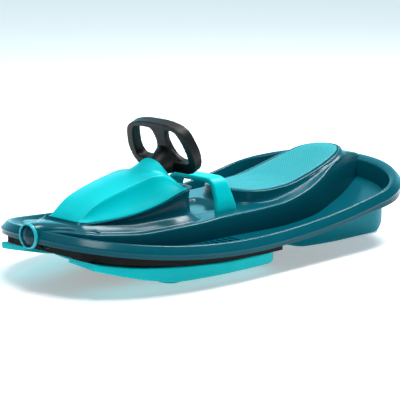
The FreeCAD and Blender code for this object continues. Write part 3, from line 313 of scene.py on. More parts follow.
def hull_half_y(x, inset):
    """Half width of that plan at x."""
    bow, tail = hull_ends(inset)
    start, reach, power = bow if x > BOW_START_X else tail
    share = min(max((x - start) / reach, 0.0), 1.0)
    return (sizes().hull_half_width - inset) * (1.0 - share ** power) ** (1.0 / power)


def smooth_loop(points, count):
    """A smooth closed curve through all the points, cut into count equal lengths."""
    total = len(points)
    fine = 8
    path = []
    for n in range(total):
        a, b, c, d = (Vector(points[(n + k) % total]) for k in (-1, 0, 1, 2))
        for step in range(fine):
            t = step / fine
            bend = (c - a) * t + (2.0 * a - 5.0 * b + 4.0 * c - d) * t ** 2
            bend += (3.0 * b - a - 3.0 * c + d) * t ** 3
            path.append(tuple(b + 0.5 * bend))
    return spread(path + path[:1], count)[:-1]


def outset(loop, distance):
    """A closed loop moved outwards along its own normals."""
    moved = []
    for n, point in enumerate(loop):
        before = Vector(loop[n - 1])
        after = Vector(loop[(n + 1) % len(loop)])
        along = (after - before).normalized()
        moved.append((point[0] + distance * along.y, point[1] - distance * along.x))
    return moved


def rounded(bends, steps=4):
    """A path through (a, b, radius) bends, each rounded off; one with no sharp bend closes on itself."""
    path = []
    for n, (a, b, radius) in enumerate(bends):
        here = Vector((a, b))
        if radius == 0.0:
            path.append((a, b))
            continue
        back = (Vector(bends[n - 1][:2]) - here).normalized() * radius
        ahead = (Vector(bends[(n + 1) % len(bends)][:2]) - here).normalized() * radius
        for t in evenly(0.0, 1.0, steps):
            path.append(tuple(here + back * (1.0 - t) ** 2 + ahead * t * t))
    return path


def skin(loops, closed):
    """A grid of faces stretched over loops of equally many points."""
    count = len(loops[0])
    columns = count if closed else count - 1
    bm = bmesh.new()
    bmesh.ops.create_grid(bm, x_segments=columns, y_segments=len(loops) - 1, size=1.0)
    for vert in bm.verts:
        column = round((vert.co.x + 1.0) / 2.0 * columns)
        row = round((vert.co.y + 1.0) / 2.0 * (len(loops) - 1))
        vert.co = loops[row][column % count]
    bmesh.ops.remove_doubles(bm, verts=bm.verts, dist=MERGE)
    return bm


def mesh_from(name, bm):
    """The mesh of a finished bm, which is freed."""
    mesh = bpy.data.meshes.new(name)
    bm.to_mesh(mesh)
    bm.free()
    return mesh


def new_object(name, data):
    """Puts a new object with its data in the scene."""
    thing = bpy.data.objects.new(name, data)
    bpy.context.scene.collection.objects.link(thing)
    return thing


def join(bm, other):
    """Adds another mesh to bm and frees it."""
    mesh = mesh_from("joined", other)
    bm.from_mesh(mesh)
    bpy.data.meshes.remove(mesh)


def close_ends(bm, below=math.inf):
    """Fills the open ends of a tube, or only what lies below a height."""
    ends = [edge for edge in bm.edges if edge.is_boundary and edge.verts[0].co.z < below]
    bmesh.ops.holes_fill(bm, edges=ends, sides=0)


def face_up(bm):
    """Turns an open sheet's faces to the side that looks up."""
    bmesh.ops.recalc_face_normals(bm, faces=bm.faces)
    bm.normal_update()
    upward = sum(face.normal.z * face.calc_area() for face in bm.faces)
    if upward < 0.0:
        bmesh.ops.reverse_faces(bm, faces=bm.faces)


def add_piece(name, bm, body, slot, nodes, look=None):
    """Makes the object from its mesh, smooth shaded, on its body and with its slot's finish or its own."""
    mesh = mesh_from(name, bm)
    mesh.shade_smooth()
    mesh.materials.append(finish(look or slot))
    piece = new_object(name, mesh)
    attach(piece, body)
    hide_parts(*nodes)
    return piece


def add_solid(name, bm, body, slot, nodes, look=None):
    """A piece whose faces close round it."""
    bmesh.ops.recalc_face_normals(bm, faces=bm.faces)
    return add_piece(name, bm, body, slot, nodes, look)


def add_shell(name, bm, slot, nodes):
    """A piece of the hull moulded as a sheet: its wall grows downwards and its edges get a small round."""
    face_up(bm)
    piece = add_piece(name, bm, "hull", slot, nodes)
    wall = piece.modifiers.new("wall", "SOLIDIFY")
    wall.thickness = sizes().sheet
    wall.offset = -1.0
    round_edges(piece, SHEET_EDGE, 2)


def round_edges(piece, width, segments=3):
    """Rounds off the edges that are sharper than the shading can smooth."""
    edge = piece.modifiers.new("edges", "BEVEL")
    edge.width = width
    edge.segments = segments
    edge.limit_method = "ANGLE"
    edge.angle_limit = math.radians(50.0)


def hull_rim():
    """Skirt, sloping band, rim and the wells' outer wall in one sweep round the hull."""
    s = sizes()
    drop = s.skirt_height
    slope_drop = 0.5 * drop
    slope_width = 0.6 * s.rim_width
    wall_depth = 0.070
    bead, bead_round = 0.0016, 0.0008
    lip, lip_round = 0.004, 0.0015
    sag_start, sag_end = 0.25, 0.56
    profile = rounded(
        [
            (s.rim_width + WALL_DRAFT * wall_depth, -wall_depth, 0.0),
            (s.rim_width, 0.0, 0.005),
            (slope_width, 0.0, 0.003),
            (0.0, -slope_drop, 0.002),
            (-bead, -slope_drop - 1.5 * bead, bead_round),
            (-bead, -slope_drop - 3.0 * bead, bead_round),
            (0.0, -slope_drop - 4.0 * bead, bead_round),
            (0.0, -drop, lip_round),
            (lip, -drop, lip_round),
            (lip, -slope_drop, 0.0),
        ]
    )
    loops = []
    for inset, height in profile:
        low = smooth_step(slope_drop, drop, -height)
        ring = []
        for x, y in hull_loop(inset):
            z = rim_z(x) + height
            if inset >= s.rim_width:
                z = max(z, floor_z(x) - s.sheet)
            else:
                z -= low * TAIL_SKIRT_DROP * smooth_step(sag_start, sag_end, -x)
            ring.append((x, y, z))
        loops.append(ring)
    add_shell("hull_rim", skin(loops, True), "shell_teal", ["hull_shell"])


def pocket_depth(x, y):
    """How far the deck dips into the shallow pocket between console and seat."""
    depth = 0.010
    front, rear, half = 0.112, -0.042, 0.066
    edge = 0.009
    along = smooth_step(0.0, edge, front - x) * smooth_step(0.0, edge, x - rear)
    return depth * along * smooth_step(0.0, edge, half - abs(y))


def hull_spine():
    """The raised deck between the wells, with rounded shoulders and drafted walls."""
    s = sizes()
    front, rear = 0.556, -0.566
    flat_rows = 20
    loops = []
    for x in evenly(front, rear, 190):
        half = deck_half(x)
        top = deck_z(x)
        foot = min(floor_z(x), rim_z(x)) - s.sheet
        lean = WALL_DRAFT * (top - foot)
        corner = min(s.shoulder, ROUND_SHARE * half)
        edge = rounded([(0.0, top, 0.0), (half, top, corner), (half + lean, foot, 0.0)], 5)[1:]
        inner = edge[0][0]
        side = []
        for row in range(flat_rows):
            y = inner * row / flat_rows
            side.append((x, y, top - pocket_depth(x, y)))
        side += [(x, y, z) for y, z in edge]
        loops.append(full_section(side))
    add_shell("hull_spine", skin(loops, False), "shell_teal", ["hull_shell"])


def hull_floors():
    """The floors of both leg wells, between the deck's wall and the hull's."""
    front, rear = 0.545, -0.545
    overlap = 0.002
    bm = bmesh.new()
    for side in (1.0, -1.0):
        loops = []
        for x in evenly(front, rear, 90):
            z = floor_z(x)
            inner = deck_half(x)
            depth = max(rim_z(x) - z, 0.0)
            outer = max(hull_half_y(x, sizes().rim_width + WALL_DRAFT * depth) + overlap, inner)
            loops.append([(x, side * y, z) for y in evenly(inner, outer, 8)])
        join(bm, skin(loops, False))
    add_shell("hull_floors", bm, "shell_teal", ["hull_shell"])


def foot_ribs():
    """Low bars across each foot rest."""
    count, pitch, first_x = 6, 0.020, 0.080
    length, width, height = 0.080, 0.005, 0.007
    middle_y = 0.205
    bm = bmesh.new()
    for side in (1.0, -1.0):
        for n in range(count):
            x = first_x + n * pitch
            place = Matrix.Translation((x, side * middle_y, floor_z(x)))
            bmesh.ops.create_cube(bm, size=1.0, matrix=place @ Matrix.Diagonal((width, length, height, 1.0)))
    piece = add_solid("foot_ribs", bm, "hull", "shell_teal", ["hull_shell"])
    round_edges(piece, width=0.0018)


def rings(outline, profile, base_z):
    """Loops round an outline, one for each (outset, height over base_z) of a profile."""
    loops = []
    for distance, height in profile:
        loops.append([(x, y, base_z(x) + height) for x, y in outset(outline, distance)])
    return loops


def raised_base(plan, top_z, profile):
    """A wall rising from the deck round a plan; profile holds (outset, share of height, extra height)."""
    outline = smooth_loop(both_sides(plan), PLAN_POINTS)
    loops = []
    for distance, share, extra in profile:
        ring = outset(outline, distance)
        loops.append([(x, y, mix(deck_z(x), top_z(x), share) + extra) for x, y in ring])
    return skin(loops, True)


def hull_console():
    """The console under the hood: a sloped foot on the deck, a wall and a thin lip."""
    profile = [
        (0.031, 0.0, -0.003), (0.029, 0.0, 0.0004), (0.026, 0.0, 0.0016), (0.009, 0.0, 0.0118),
        (0.0045, 0.0, 0.0152), (0.0020, 0.0, 0.0200), (-0.0005, 0.65, 0.0), (0.001, 1.0, -0.009),
        (0.002, 1.0, -0.0075), (0.004, 1.0, -0.0062), (0.0062, 1.0, -0.0042), (0.0066, 1.0, -0.0024),
        (0.0050, 1.0, -0.0008), (0.002, 1.0, -0.0004), (-0.012, 1.0, -0.001),
    ]
    add_shell("hull_console", raised_base(CONSOLE_PLAN, console_z, profile), "shell_teal", ["hull_shell"])


def hull_plinth():
    """The seat's plinth: a concave foot, a rounded lip and the recess that the pad lies in."""
    profile = [
        (0.024, 0.0, -0.004), (0.019, 0.0, 0.0004), (0.0160, 0.10, 0.0006), (0.0140, 0.32, 0.0006),
        (0.0125, 0.7, -0.001), (0.0115, 1.0, -0.004), (0.0112, 1.0, -0.0015), (0.0095, 1.0, 0.0),
        (0.0065, 1.0, 0.0006), (0.0035, 1.0, 0.0), (0.0018, 1.0, -0.0018), (0.0014, 1.0, -0.0055),
        (-0.002, 1.0, -0.006), (-0.010, 1.0, -0.006),
    ]
    add_shell("hull_plinth", raised_base(PAD_PLAN, seat_z, profile), "shell_teal", ["hull_shell"])


def nose_ridge():
    """The barrel that holds the tow reel: round at the nose, flaring into the deck towards the hood."""
    rear, front = 0.440, 0.574
    square_x, round_x = 0.47, 0.555
    flare_power = 0.55
    loops = []
    for x in evenly(rear, front, 24):
        power = mix(flare_power, 1.0, smooth_step(square_x, round_x, x))
        loop = []
        for angle in evenly(0.0, math.pi, 32):
            y = ridge_half(x) * squarer(math.cos(angle), power)
            z = mix(NOSE_AXIS_Z, ridge_top(x), squarer(math.sin(angle), power))
            loop.append((x, y, z))
        loops.append(loop)
    add_shell("nose_ridge", skin(loops, False), "shell_teal", ["hull_shell"])


def turned(profile, steps=64):
    """A solid of revolution about the nose axis from (x, radius) points."""
    bm = bmesh.new()
    verts = [bm.verts.new((x, radius, NOSE_AXIS_Z)) for x, radius in profile]
    edges = [bm.edges.new(pair) for pair in zip(verts, verts[1:])]
    bmesh.ops.spin(
        bm, geom=verts + edges, cent=(0.0, 0.0, NOSE_AXIS_Z), axis=(1.0, 0.0, 0.0), angle=2.0 * math.pi,
        steps=steps, use_merge=True,
    )
    bmesh.ops.remove_doubles(bm, verts=bm.verts, dist=MERGE)
    return bm


def nose_bezel():
    """The ring in the nose that the tow knob sits in."""
    profile = rounded(
        [
            (0.572, 0.0262, 0.0), (0.5785, 0.0262, 0.0006), (0.5795, 0.0276, 0.0008),
            (0.5785, 0.0300, 0.0010), (0.5735, 0.0306, 0.0), (0.572, 0.0306, 0.0), (0.572, 0.0262, 0.0),
        ],
        3,
    )
    add_solid("tow_bezel", turned(profile), "hull", "trim_turquoise", ["nose_bezel"], "bezel")


def reel_case():
    """The tow reel's case: a round drum across the nose with a throat for the cord towards the knob."""
    reel_x, radius, width = 0.508, 0.0230, 0.060
    throat_radius, throat_front = 0.012, 0.544
    across = Matrix.Translation((reel_x, 0.0, NOSE_AXIS_Z)) @ Matrix.Rotation(0.5 * math.pi, 4, "X")
    throat_x = 0.5 * (reel_x + throat_front)
    ahead = Matrix.Translation((throat_x, 0.0, NOSE_AXIS_Z)) @ Matrix.Rotation(0.5 * math.pi, 4, "Y")
    bm = bmesh.new()
    for place, size, depth in ((across, radius, width), (ahead, throat_radius, throat_front - reel_x)):
        bmesh.ops.create_cone(
            bm, cap_ends=True, segments=48, radius1=size, radius2=size, depth=depth, matrix=place
        )
    piece = add_solid("reel_case", bm, "hull", "frame_black", ["reel_housing"])
    round_edges(piece, width=0.0012)


def tow_knob():
    """The seven-sided tow knob, which tapers to its tip."""
    profile = rounded(
        [
            (0.566, 0.0, 0.0), (0.566, 0.0258, 0.0), (0.5735, 0.0258, 0.0006), (0.5838, 0.0065, 0.0006),
            (0.5848, 0.0, 0.0),
        ],
        3,
    )
    piece = add_solid("tow_cone", turned(profile, 7), "knob", "knob_blue", ["tow_knob"])
    piece.data.shade_flat()
    round_edges(piece, width=0.0012)


def arch_z(x, y):
    """Top of the shroud, a round tunnel along the column, or far below where it doesn't reach."""
    radius = 0.050
    full_reach, reach = 0.090, 0.150
    if abs(y) >= radius:
        return 0.0
    ahead = x - SHROUD_MOUTH.x
    fade = smooth_step(reach, full_reach, ahead)
    axis = SHROUD_MOUTH.z - ahead * math.tan(COLUMN_TILT)
    return axis + fade * math.sqrt(radius ** 2 - y * y) / math.cos(COLUMN_TILT)


def soft_max(a, b, width):
    """The larger of two heights, blended where they are within width of each other."""
    h = max(width - abs(a - b), 0.0) / width
    return max(a, b) + h * h * width / 4.0


def hood_top_z(x, y):
    """Top of the hood: a swollen panel inside the crease, with the shroud's arch melted into it."""
    melted = 0.008
    share = min(abs(y) / hood_crease(x), 1.0)
    swell = 0.5 * (1.0 - share ** 2) + 0.25 * (1.0 + math.cos(math.pi * share))
    panel = mix(hood_crease_z(x), hood_crown_z(x), swell)
    return soft_max(panel, arch_z(x, y), melted)


def hood_half(x):
    """Half a cross section of the hood from the middle down to its lower edge, as (y, z)."""
    crown_rows, side_rows = 14, 8
    crease_round, hollow_share = 0.0032, 0.10
    seam = 0.0008
    crease = hood_crease(x)
    crown = [(y, hood_top_z(x, y)) for y in (crease * n / crown_rows for n in range(crown_rows - 1))]
    corner = rounded(
        [
            (*crown[-1], 0.0), (crease, hood_crease_z(x), crease_round),
            (hood_lower(x), console_z(x) + seam, 0.0),
        ]
    )[1:]
    first, last = Vector(corner[-2]), Vector(corner[-1])
    hollow = hollow_share * (first - last).length
    side = []
    for t in evenly(0.0, 1.0, side_rows)[1:]:
        y, z = first.lerp(last, t)
        side.append((y - hollow * math.sin(math.pi * t), z))
    return crown + corner[:-1] + side


def hood():
    """The console hood: two panels that meet in a crease, and the shroud arch round the column."""
    front = 0.470
    # A power above 1 draws the sections together near the mouth; each point is slid to it in a few tries.
    closeness, tries = 1.5, 6
    rows = len(hood_half(front))
    loops = []
    for t in evenly(0.0, 1.0, 90):
        share = 1.0 - (1.0 - t) ** closeness
        half = []
        for row in range(rows):
            x = mix(front, SHROUD_MOUTH.x, share)
            for _ in range(tries):
                y, z = hood_half(x)[row]
                mouth = SHROUD_MOUTH.x + (z - SHROUD_MOUTH.z) * math.tan(COLUMN_TILT)
                x = mix(front, mouth, share)
            half.append((x, y, z))
        loops.append(full_section(half))
    add_shell("hood", skin(loops, False), "trim_turquoise", ["console_hood"])


def seat_pad():
    """The padded seat: a rounded edge and a crowned top that closes on the seat's middle line."""
    middle_rear, middle_front = -0.43, -0.15
    edge = [
        (-0.004, -0.0052), (-0.0005, -0.0045), (0.0, -0.003), (0.0, 0.0), (-0.0008, 0.0018),
        (-0.0025, 0.0028),
    ]
    loops = rings(smooth_loop(both_sides(PAD_PLAN), PLAN_POINTS), edge, seat_z)
    start = loops[-1]
    for share in evenly(0.0, 1.0, 14)[1:]:
        height = edge[-1][1] + sizes().pad_crown * (1.0 - (1.0 - share) ** 2)
        ring = []
        for x, y, _ in start:
            inner_x = mix(x, min(max(x, middle_rear), middle_front), share)
            ring.append((inner_x, mix(y, 0.0, share), seat_z(inner_x) + height))
        loops.append(ring)
    bm = skin(loops, True)
    close_ends(bm)
    piece = add_solid("seat_cushion", bm, "hull", "seat_foam", ["seat_pad"])


def column_matrix():
    """Frame of the steering column: x to the left, y up the wheel's face, z down the column."""
    sin, cos = math.sin(COLUMN_TILT), math.cos(COLUMN_TILT)
    turn = Matrix(((0.0, sin, cos), (1.0, 0.0, 0.0), (0.0, cos, -sin))).to_4x4()
    return Matrix.Translation(HUB) @ turn


def plate(bm, outlines, low, high):
    """Adds a flat plate between two heights; the outlines after the first are its holes."""
    edges = []
    for outline in outlines:
        ring = bmesh.ops.create_circle(bm, segments=len(outline), radius=1.0)["verts"]
        for vert, (x, y) in zip(ring, outline):
            vert.co = (x, y, low)
        edges += list({edge for vert in ring for edge in vert.link_edges})
    filled = bmesh.ops.triangle_fill(bm, edges=edges, use_beauty=True)
    faces = [part for part in filled["geom"] if isinstance(part, bmesh.types.BMFace)]
    grown = bmesh.ops.extrude_face_region(bm, geom=faces, use_keep_orig=True)
    top = [part for part in grown["geom"] if isinstance(part, bmesh.types.BMVert)]
    bmesh.ops.translate(bm, verts=top, vec=(0.0, 0.0, high - low))


def melt(piece, voxel, turns):
    """Joins what overlaps in a piece and rounds off all its edges."""
    remesh = piece.modifiers.new("join", "REMESH")
    remesh.mode = "VOXEL"
    remesh.voxel_size = voxel
    remesh.use_smooth_shade = True
    soft = piece.modifiers.new("soft", "SMOOTH")
    soft.factor = 0.5
    soft.iterations = turns
    shape = piece.evaluated_get(bpy.context.evaluated_depsgraph_get())
    mesh = bpy.data.meshes.new_from_object(shape)
    mesh.name = piece.name
    piece.modifiers.clear()
    piece.data = mesh


def steering_wheel():
    """The wheel: a thick rim, a thinner spoke between the hand holes and a flared hub, melted into one."""
    rear, spoke_front, rim_front = -0.014, 0.001, 0.014
    hub_radius, neck_radius, hub_length, hub_middle = 0.040, 0.019, 0.060, 0.027
    left_to_right = (-1.0, 1.0)
    outside = both_sides(WHEEL_HALF, left_to_right)
    inside = both_sides(WHEEL_INSIDE, left_to_right)
    hole = smooth_loop(HAND_HOLE, 60)
    other_hole = [(-x, y) for x, y in reversed(hole)]
    bm = bmesh.new()
    plate(bm, [smooth_loop(outside, 120), smooth_loop(inside, 100)], rear, rim_front)
    plate(bm, [smooth_loop(outside, 110), hole, other_hole], rear, spoke_front)
    flare = Matrix.Translation((0.0, 0.0, hub_middle))
    bmesh.ops.create_cone(
        bm, cap_ends=True, segments=48, radius1=hub_radius, radius2=neck_radius, depth=hub_length,
        matrix=flare,
    )
    bmesh.ops.transform(bm, matrix=column_matrix(), verts=bm.verts)
    piece = add_solid("wheel", bm, "steering", "grip_black", ["steering_wheel"])
    melt(piece, voxel=0.0020, turns=9)


def brake_bail():
    """The brake's bail: a wide band with rounded edges, bent over from foot to foot."""
    foot_z, bend_z, top_z = 0.092, 0.142, 0.2025
    foot_y, top_y = 0.098, 0.0715
    middle_x = 0.020
    thickness, bend = 0.015, 0.020
    around, power = 24, 0.36
    width = line([(0.090, 0.046), (0.126, 0.070), (0.165, 0.058), (top_z, 0.050)])
    bends = [(0.0, top_z, 0.0), (top_y, top_z, bend), (foot_y, bend_z, bend), (foot_y, foot_z, 0.0)]
    half_path = spread(rounded(bends, 8), 40)
    path = [(-y, z) for y, z in reversed(half_path[1:])] + half_path
    loops = []
    for n, (y, z) in enumerate(path):
        before = path[max(n - 1, 0)]
        after = path[min(n + 1, len(path) - 1)]
        along = (Vector(after) - Vector(before)).normalized()
        loop = []
        for step in range(around):
            angle = 2.0 * math.pi * step / around
            a = squarer(math.cos(angle), power) * 0.5 * width(z)
            b = squarer(math.sin(angle), power) * 0.5 * thickness
            loop.append((middle_x + a, y - b * along.y, z + b * along.x))
        loops.append(loop)
    bm = skin(loops, True)
    close_ends(bm)
    add_solid("brake_bail", bm, "brake", "trim_turquoise", ["brake_handle"])


def bar(places, side, section):
    """A closed bar swept along x on one side; section gives the (y, z, radius) bends of its loop at x."""
    bm = skin([[(x, side * y, z) for y, z in rounded(section(x))] for x in places], True)
    close_ends(bm)
    return bm


def ski(side, name):
    """A ski: level sole, upright walls, a tip that rises in front and a keel that stands on the ground."""
    tip_x, heel_x = 0.520, 0.003
    keel_rear, keel_front = 0.060, 0.345
    keel_y, keel_half, keel_overlap = 0.165, 0.014, 0.002
    chine_start, chine_end, chine_rise = 0.30, 0.42, 0.42
    corner = 0.005

    def body_section(x):
        low, high = ski_bottom_z(x), ski_top_z(x)
        inner, outer = ski_inner(x), ski_outer(x)
        inner_low = mix(low, high, chine_rise * smooth_step(chine_start, chine_end, x))
        r = min(corner, ROUND_SHARE * (high - low))
        return [(inner, inner_low, 0.5 * r), (outer, low, r), (outer, high, r), (inner, high, 0.5 * r)]

    def keel_section(x):
        low, high = keel_z(x), ski_bottom_z(x) + keel_overlap
        r = ROUND_SHARE * (high - low)
        right, left = keel_y - keel_half, keel_y + keel_half
        return [(right, low, r), (left, low, r), (left, high, r), (right, high, r)]

    bm = bar(evenly(tip_x, heel_x, 56), side, body_section)
    join(bm, bar(evenly(keel_front, keel_rear, 30), side, keel_section))
    piece = add_solid(name + "_body", bm, name, "trim_turquoise", [name])
    round_edges(piece, width=0.003)


def rear_runner():
    """The moulded runner under the seat: flat sole, rounded edges and a cut-off rear corner."""
    hull_gap, sole_limit_z = 0.004, 0.05
    half = rounded(
        [
            (-0.150, 0.0, 0.0), (-0.150, 0.112, 0.018), (-0.234, 0.146, 0.03), (-0.325, 0.162, 0.03),
            (-0.493, 0.165, 0.02), (-0.532, 0.156, 0.010), (-0.532, 0.0, 0.0),
        ],
        6,
    )
    outline = both_sides(spread(half, 100))
    profile = [(-0.060, 0.0), (-0.030, 0.0), (-0.012, 0.0), (-0.005, 0.0008), (-0.0015, 0.003), (0.0, 0.008)]
    loops = rings(outline, profile, runner_bottom_z)
    loops.append([(x, y, floor_z(x) - hull_gap) for x, y in outline])
    bm = skin(loops, True)
    close_ends(bm, sole_limit_z)
    # Its own look is the trim turquoise painted darker as the shade under the hull.
    add_solid("runner_body", bm, "hull", "trim_turquoise", ["rear_runner"], "runner")


def node_of(tree, kind, place, **settings):
    """A node with its plain settings."""
    node = tree.nodes.new(kind)
    node.location = place
    for key, value in settings.items():
        setattr(node, key, value)
    return node


def set_inputs(node, **values):
    """Sets a node's sockets, named in small letters with underscores."""
    for name, value in values.items():
        node.inputs[name.replace("_", " ").title()].default_value = value


def calculate(tree, place, operation, first, second):
    """Arithmetic on two sockets."""
    node = node_of(tree, "ShaderNodeMath", place, operation=operation)
    tree.links.new(first, node.inputs[0])
    tree.links.new(second, node.inputs[1])
    return node.outputs["Value"]


def ramp(tree, place, value, span, result, kind="LINEAR"):
    """Maps a value from its span, as (low, high), to the ends of the result."""
    node = node_of(tree, "ShaderNodeMapRange", place, interpolation_type=kind)
    set_inputs(node, from_min=span[0], from_max=span[1], to_min=result[0], to_max=result[1])
    tree.links.new(value, node.inputs["Value"])
    return node.outputs["Result"]


def new_group(name, dial, default, results):
    """A node group with one number to set and named results; gives its input socket and result sockets."""
    group = bpy.data.node_groups.new(name, "ShaderNodeTree")
    socket = group.interface.new_socket(name=dial, in_out="INPUT", socket_type="NodeSocketFloat")
    socket.default_value = default
    for result in results:
        group.interface.new_socket(name=result, in_out="OUTPUT", socket_type="NodeSocketFloat")
    inputs = node_of(group, "NodeGroupInput", (-800, 0))
    outputs = node_of(group, "NodeGroupOutput", (600, 0))
    return group, inputs.outputs[dial], outputs.inputs


def moulded_group():
    """Shared look of moulded plastic: slow tone, haze for the roughness, fine relief and worn edges."""
    name = "Moulded surface"
    if name in bpy.data.node_groups:
        return bpy.data.node_groups[name]
    group, grain, results = new_group(name, "Grain", 900.0, ("Tone", "Haze", "Relief", "Wear"))
    place = node_of(group, "ShaderNodeTexCoord", (-800, 200))
    tone, haze, fine = (node_of(group, "ShaderNodeTexNoise", (-400, high)) for high in (300, 50, -200))
    set_inputs(tone, scale=5.0, detail=2.0)
    set_inputs(haze, scale=38.0, detail=5.0)
    set_inputs(fine, detail=2.0)
    group.links.new(grain, fine.inputs["Scale"])
    for noise, result in ((tone, "Tone"), (haze, "Haze"), (fine, "Relief")):
        group.links.new(place.outputs["Object"], noise.inputs["Vector"])
        group.links.new(noise.outputs["Fac"], results[result])
    geometry = node_of(group, "ShaderNodeNewGeometry", (-800, -400))
    edge = ramp(group, (-400, -450), geometry.outputs["Pointiness"], (0.53, 0.62), (0.0, 1.0))
    worn = calculate(group, (0, -350), "MULTIPLY", edge, haze.outputs["Fac"])
    group.links.new(worn, results["Wear"])
    return group


def knurl_group():
    """Rows of small pyramids set on the diagonal, as a height from 0 in the grooves to 1 on the tips."""
    name = "Diamond knurl"
    if name in bpy.data.node_groups:
        return bpy.data.node_groups[name]
    group, pitch, results = new_group(name, "Pitch", sizes().knurl_pitch, ("Height",))
    place = node_of(group, "ShaderNodeTexCoord", (-800, 200))
    split = node_of(group, "ShaderNodeSeparateXYZ", (-600, 200))
    group.links.new(place.outputs["Object"], split.inputs["Vector"])
    waves = []
    for operation, high in (("ADD", 200), ("SUBTRACT", 0)):
        diagonal = calculate(group, (-400, high), operation, split.outputs["X"], split.outputs["Y"])
        waves.append(calculate(group, (-200, high), "PINGPONG", diagonal, pitch))
    lowest = calculate(group, (200, 100), "MINIMUM", *waves)
    height = calculate(group, (400, 100), "DIVIDE", lowest, pitch)
    group.links.new(height, results["Height"])
    return group


def new_material(name):
    """An empty material with its node tree and its shader."""
    material = bpy.data.materials.new(name)
    material.use_nodes = True
    return material, material.node_tree, material.node_tree.nodes["Principled BSDF"]


def moulded_surface(tree, grain=900.0):
    """Places the shared look in a material and gives its results."""
    node = node_of(tree, "ShaderNodeGroup", (-900, 0), node_tree=moulded_group())
    set_inputs(node, grain=grain)
    return node.outputs


def two_tone(tree, place, factor, first, second):
    """Mixes two colours by a mask."""
    node = node_of(tree, "ShaderNodeMix", place, data_type="RGBA")
    tree.links.new(factor, node.inputs["Factor"])
    for socket, colour in ((node.inputs["A"], first), (node.inputs["B"], second)):
        if isinstance(colour, bpy.types.NodeSocket):
            tree.links.new(colour, socket)
        else:
            socket.default_value = (*colour, 1.0)
    return node.outputs["Result"]


def relief(tree, shader, height, strength, distance):
    """Bumps the surface by a height."""
    bump = node_of(tree, "ShaderNodeBump", (-250, -300))
    set_inputs(bump, strength=strength, distance=distance)
    tree.links.new(height, bump.inputs["Height"])
    tree.links.new(bump.outputs["Normal"], shader.inputs["Normal"])


def hazy_gloss(tree, shader, surface, roughness):
    """Lets the roughness wander between its low and its high value."""
    rough = ramp(tree, (-600, -150), surface["Haze"], (0.0, 1.0), roughness)
    tree.links.new(rough, shader.inputs["Roughness"])


def moulded(slot, colour, roughness, grain=900.0, bump=0.05, gloss=0.35):
    """Moulded plastic: two close tones of a colour, hazy gloss, fine relief and paler worn edges."""
    darker, lighter = 0.80, 1.18
    worn_gain, worn_lift, most_worn = 1.5, 0.004, 0.5
    material, tree, shader = new_material("finish_" + slot)
    surface = moulded_surface(tree, grain)
    dark = [darker * part for part in colour]
    light = [lighter * part for part in colour]
    pale = [min(worn_gain * part + worn_lift, 1.0) for part in colour]
    tone = two_tone(tree, (-600, 200), surface["Tone"], dark, light)
    worn = ramp(tree, (-600, 0), surface["Wear"], (0.0, 1.0), (0.0, most_worn))
    tree.links.new(two_tone(tree, (-350, 150), worn, tone, pale), shader.inputs["Base Color"])
    hazy_gloss(tree, shader, surface, roughness)
    relief(tree, shader, surface["Relief"], strength=bump, distance=0.0006)
    shader.inputs["Specular IOR Level"].default_value = gloss
    return material


def shell_material():
    """Glossy dark teal of the hull."""
    return moulded("shell_teal", colours().shell, (0.14, 0.26), grain=700.0, bump=0.03, gloss=0.11)


def trim_material():
    """Satin turquoise of hood, bail and skis."""
    return moulded("trim_turquoise", colours().trim, (0.26, 0.42), grain=800.0, gloss=0.08)


def shaded_runner_material():
    """The rear runner's satin, a darker teal than the trim, painted dark as the shade under the hull."""
    return moulded("runner", colours().runner, (0.26, 0.42), grain=800.0, gloss=0.08)


def bezel_material():
    """The brighter ring round the tow knob."""
    return moulded("bezel", colours().bezel, (0.20, 0.34), grain=800.0)


def knob_material():
    """Deep blue of the tow knob."""
    return moulded("knob_blue", colours().knob, (0.22, 0.36), gloss=0.2)


def frame_material():
    """Dull black of subframe and brackets."""
    return moulded("frame_black", colours().black, (0.55, 0.75), grain=600.0, bump=0.2, gloss=0.12)


def grip_material():
    """Grained black of the steering wheel."""
    return moulded("grip_black", colours().black, (0.40, 0.54), grain=420.0, bump=0.6)


def nylon_material():
    """Off-white bearing nylon."""
    return moulded("bush_nylon", colours().nylon, (0.40, 0.55), grain=1200.0)


def pad_material():
    """Foam pad with a diamond knurl; the grooves are painted darker than the tips as shade."""
    # Painted shade: the knurl's grooves take the pad colour darkened to this share.
    groove_shade_tone = 0.40
    pale_tone, pale_share = 0.8, 0.06
    material, tree, shader = new_material("finish_seat_foam")
    colour = colours().pad
    surface = moulded_surface(tree)
    knurl = node_of(tree, "ShaderNodeGroup", (-1100, -300), node_tree=knurl_group())
    set_inputs(knurl, pitch=sizes().knurl_pitch)
    groove_shade = [groove_shade_tone * part for part in colour]
    pale = [mix(part, pale_tone, pale_share) for part in colour]
    tone = two_tone(tree, (-800, 200), surface["Tone"], colour, pale)
    height = knurl.outputs["Height"]
    # Painted shade in the knurl: darkest in the grooves, full tone on the tips.
    tree.links.new(two_tone(tree, (-500, 150), height, groove_shade, tone), shader.inputs["Base Color"])
    hazy_gloss(tree, shader, surface, roughness=(0.38, 0.6))
    relief(tree, shader, height, strength=0.5, distance=0.001)
    shader.inputs["Specular IOR Level"].default_value = 0.25
    return material


def steel_material():
    """Zinc-plated steel, duller in places, with a fine grain."""
    dullness = 0.7
    material, tree, shader = new_material("finish_steel")
    surface = moulded_surface(tree, grain=2500.0)
    bright = colours().steel
    dull = [dullness * part for part in bright]
    tree.links.new(two_tone(tree, (-500, 150), surface["Tone"], dull, bright), shader.inputs["Base Color"])
    hazy_gloss(tree, shader, surface, roughness=(0.22, 0.48))
    relief(tree, shader, surface["Relief"], strength=0.1, distance=0.0003)
    shader.inputs["Metallic"].default_value = 1.0
    return material


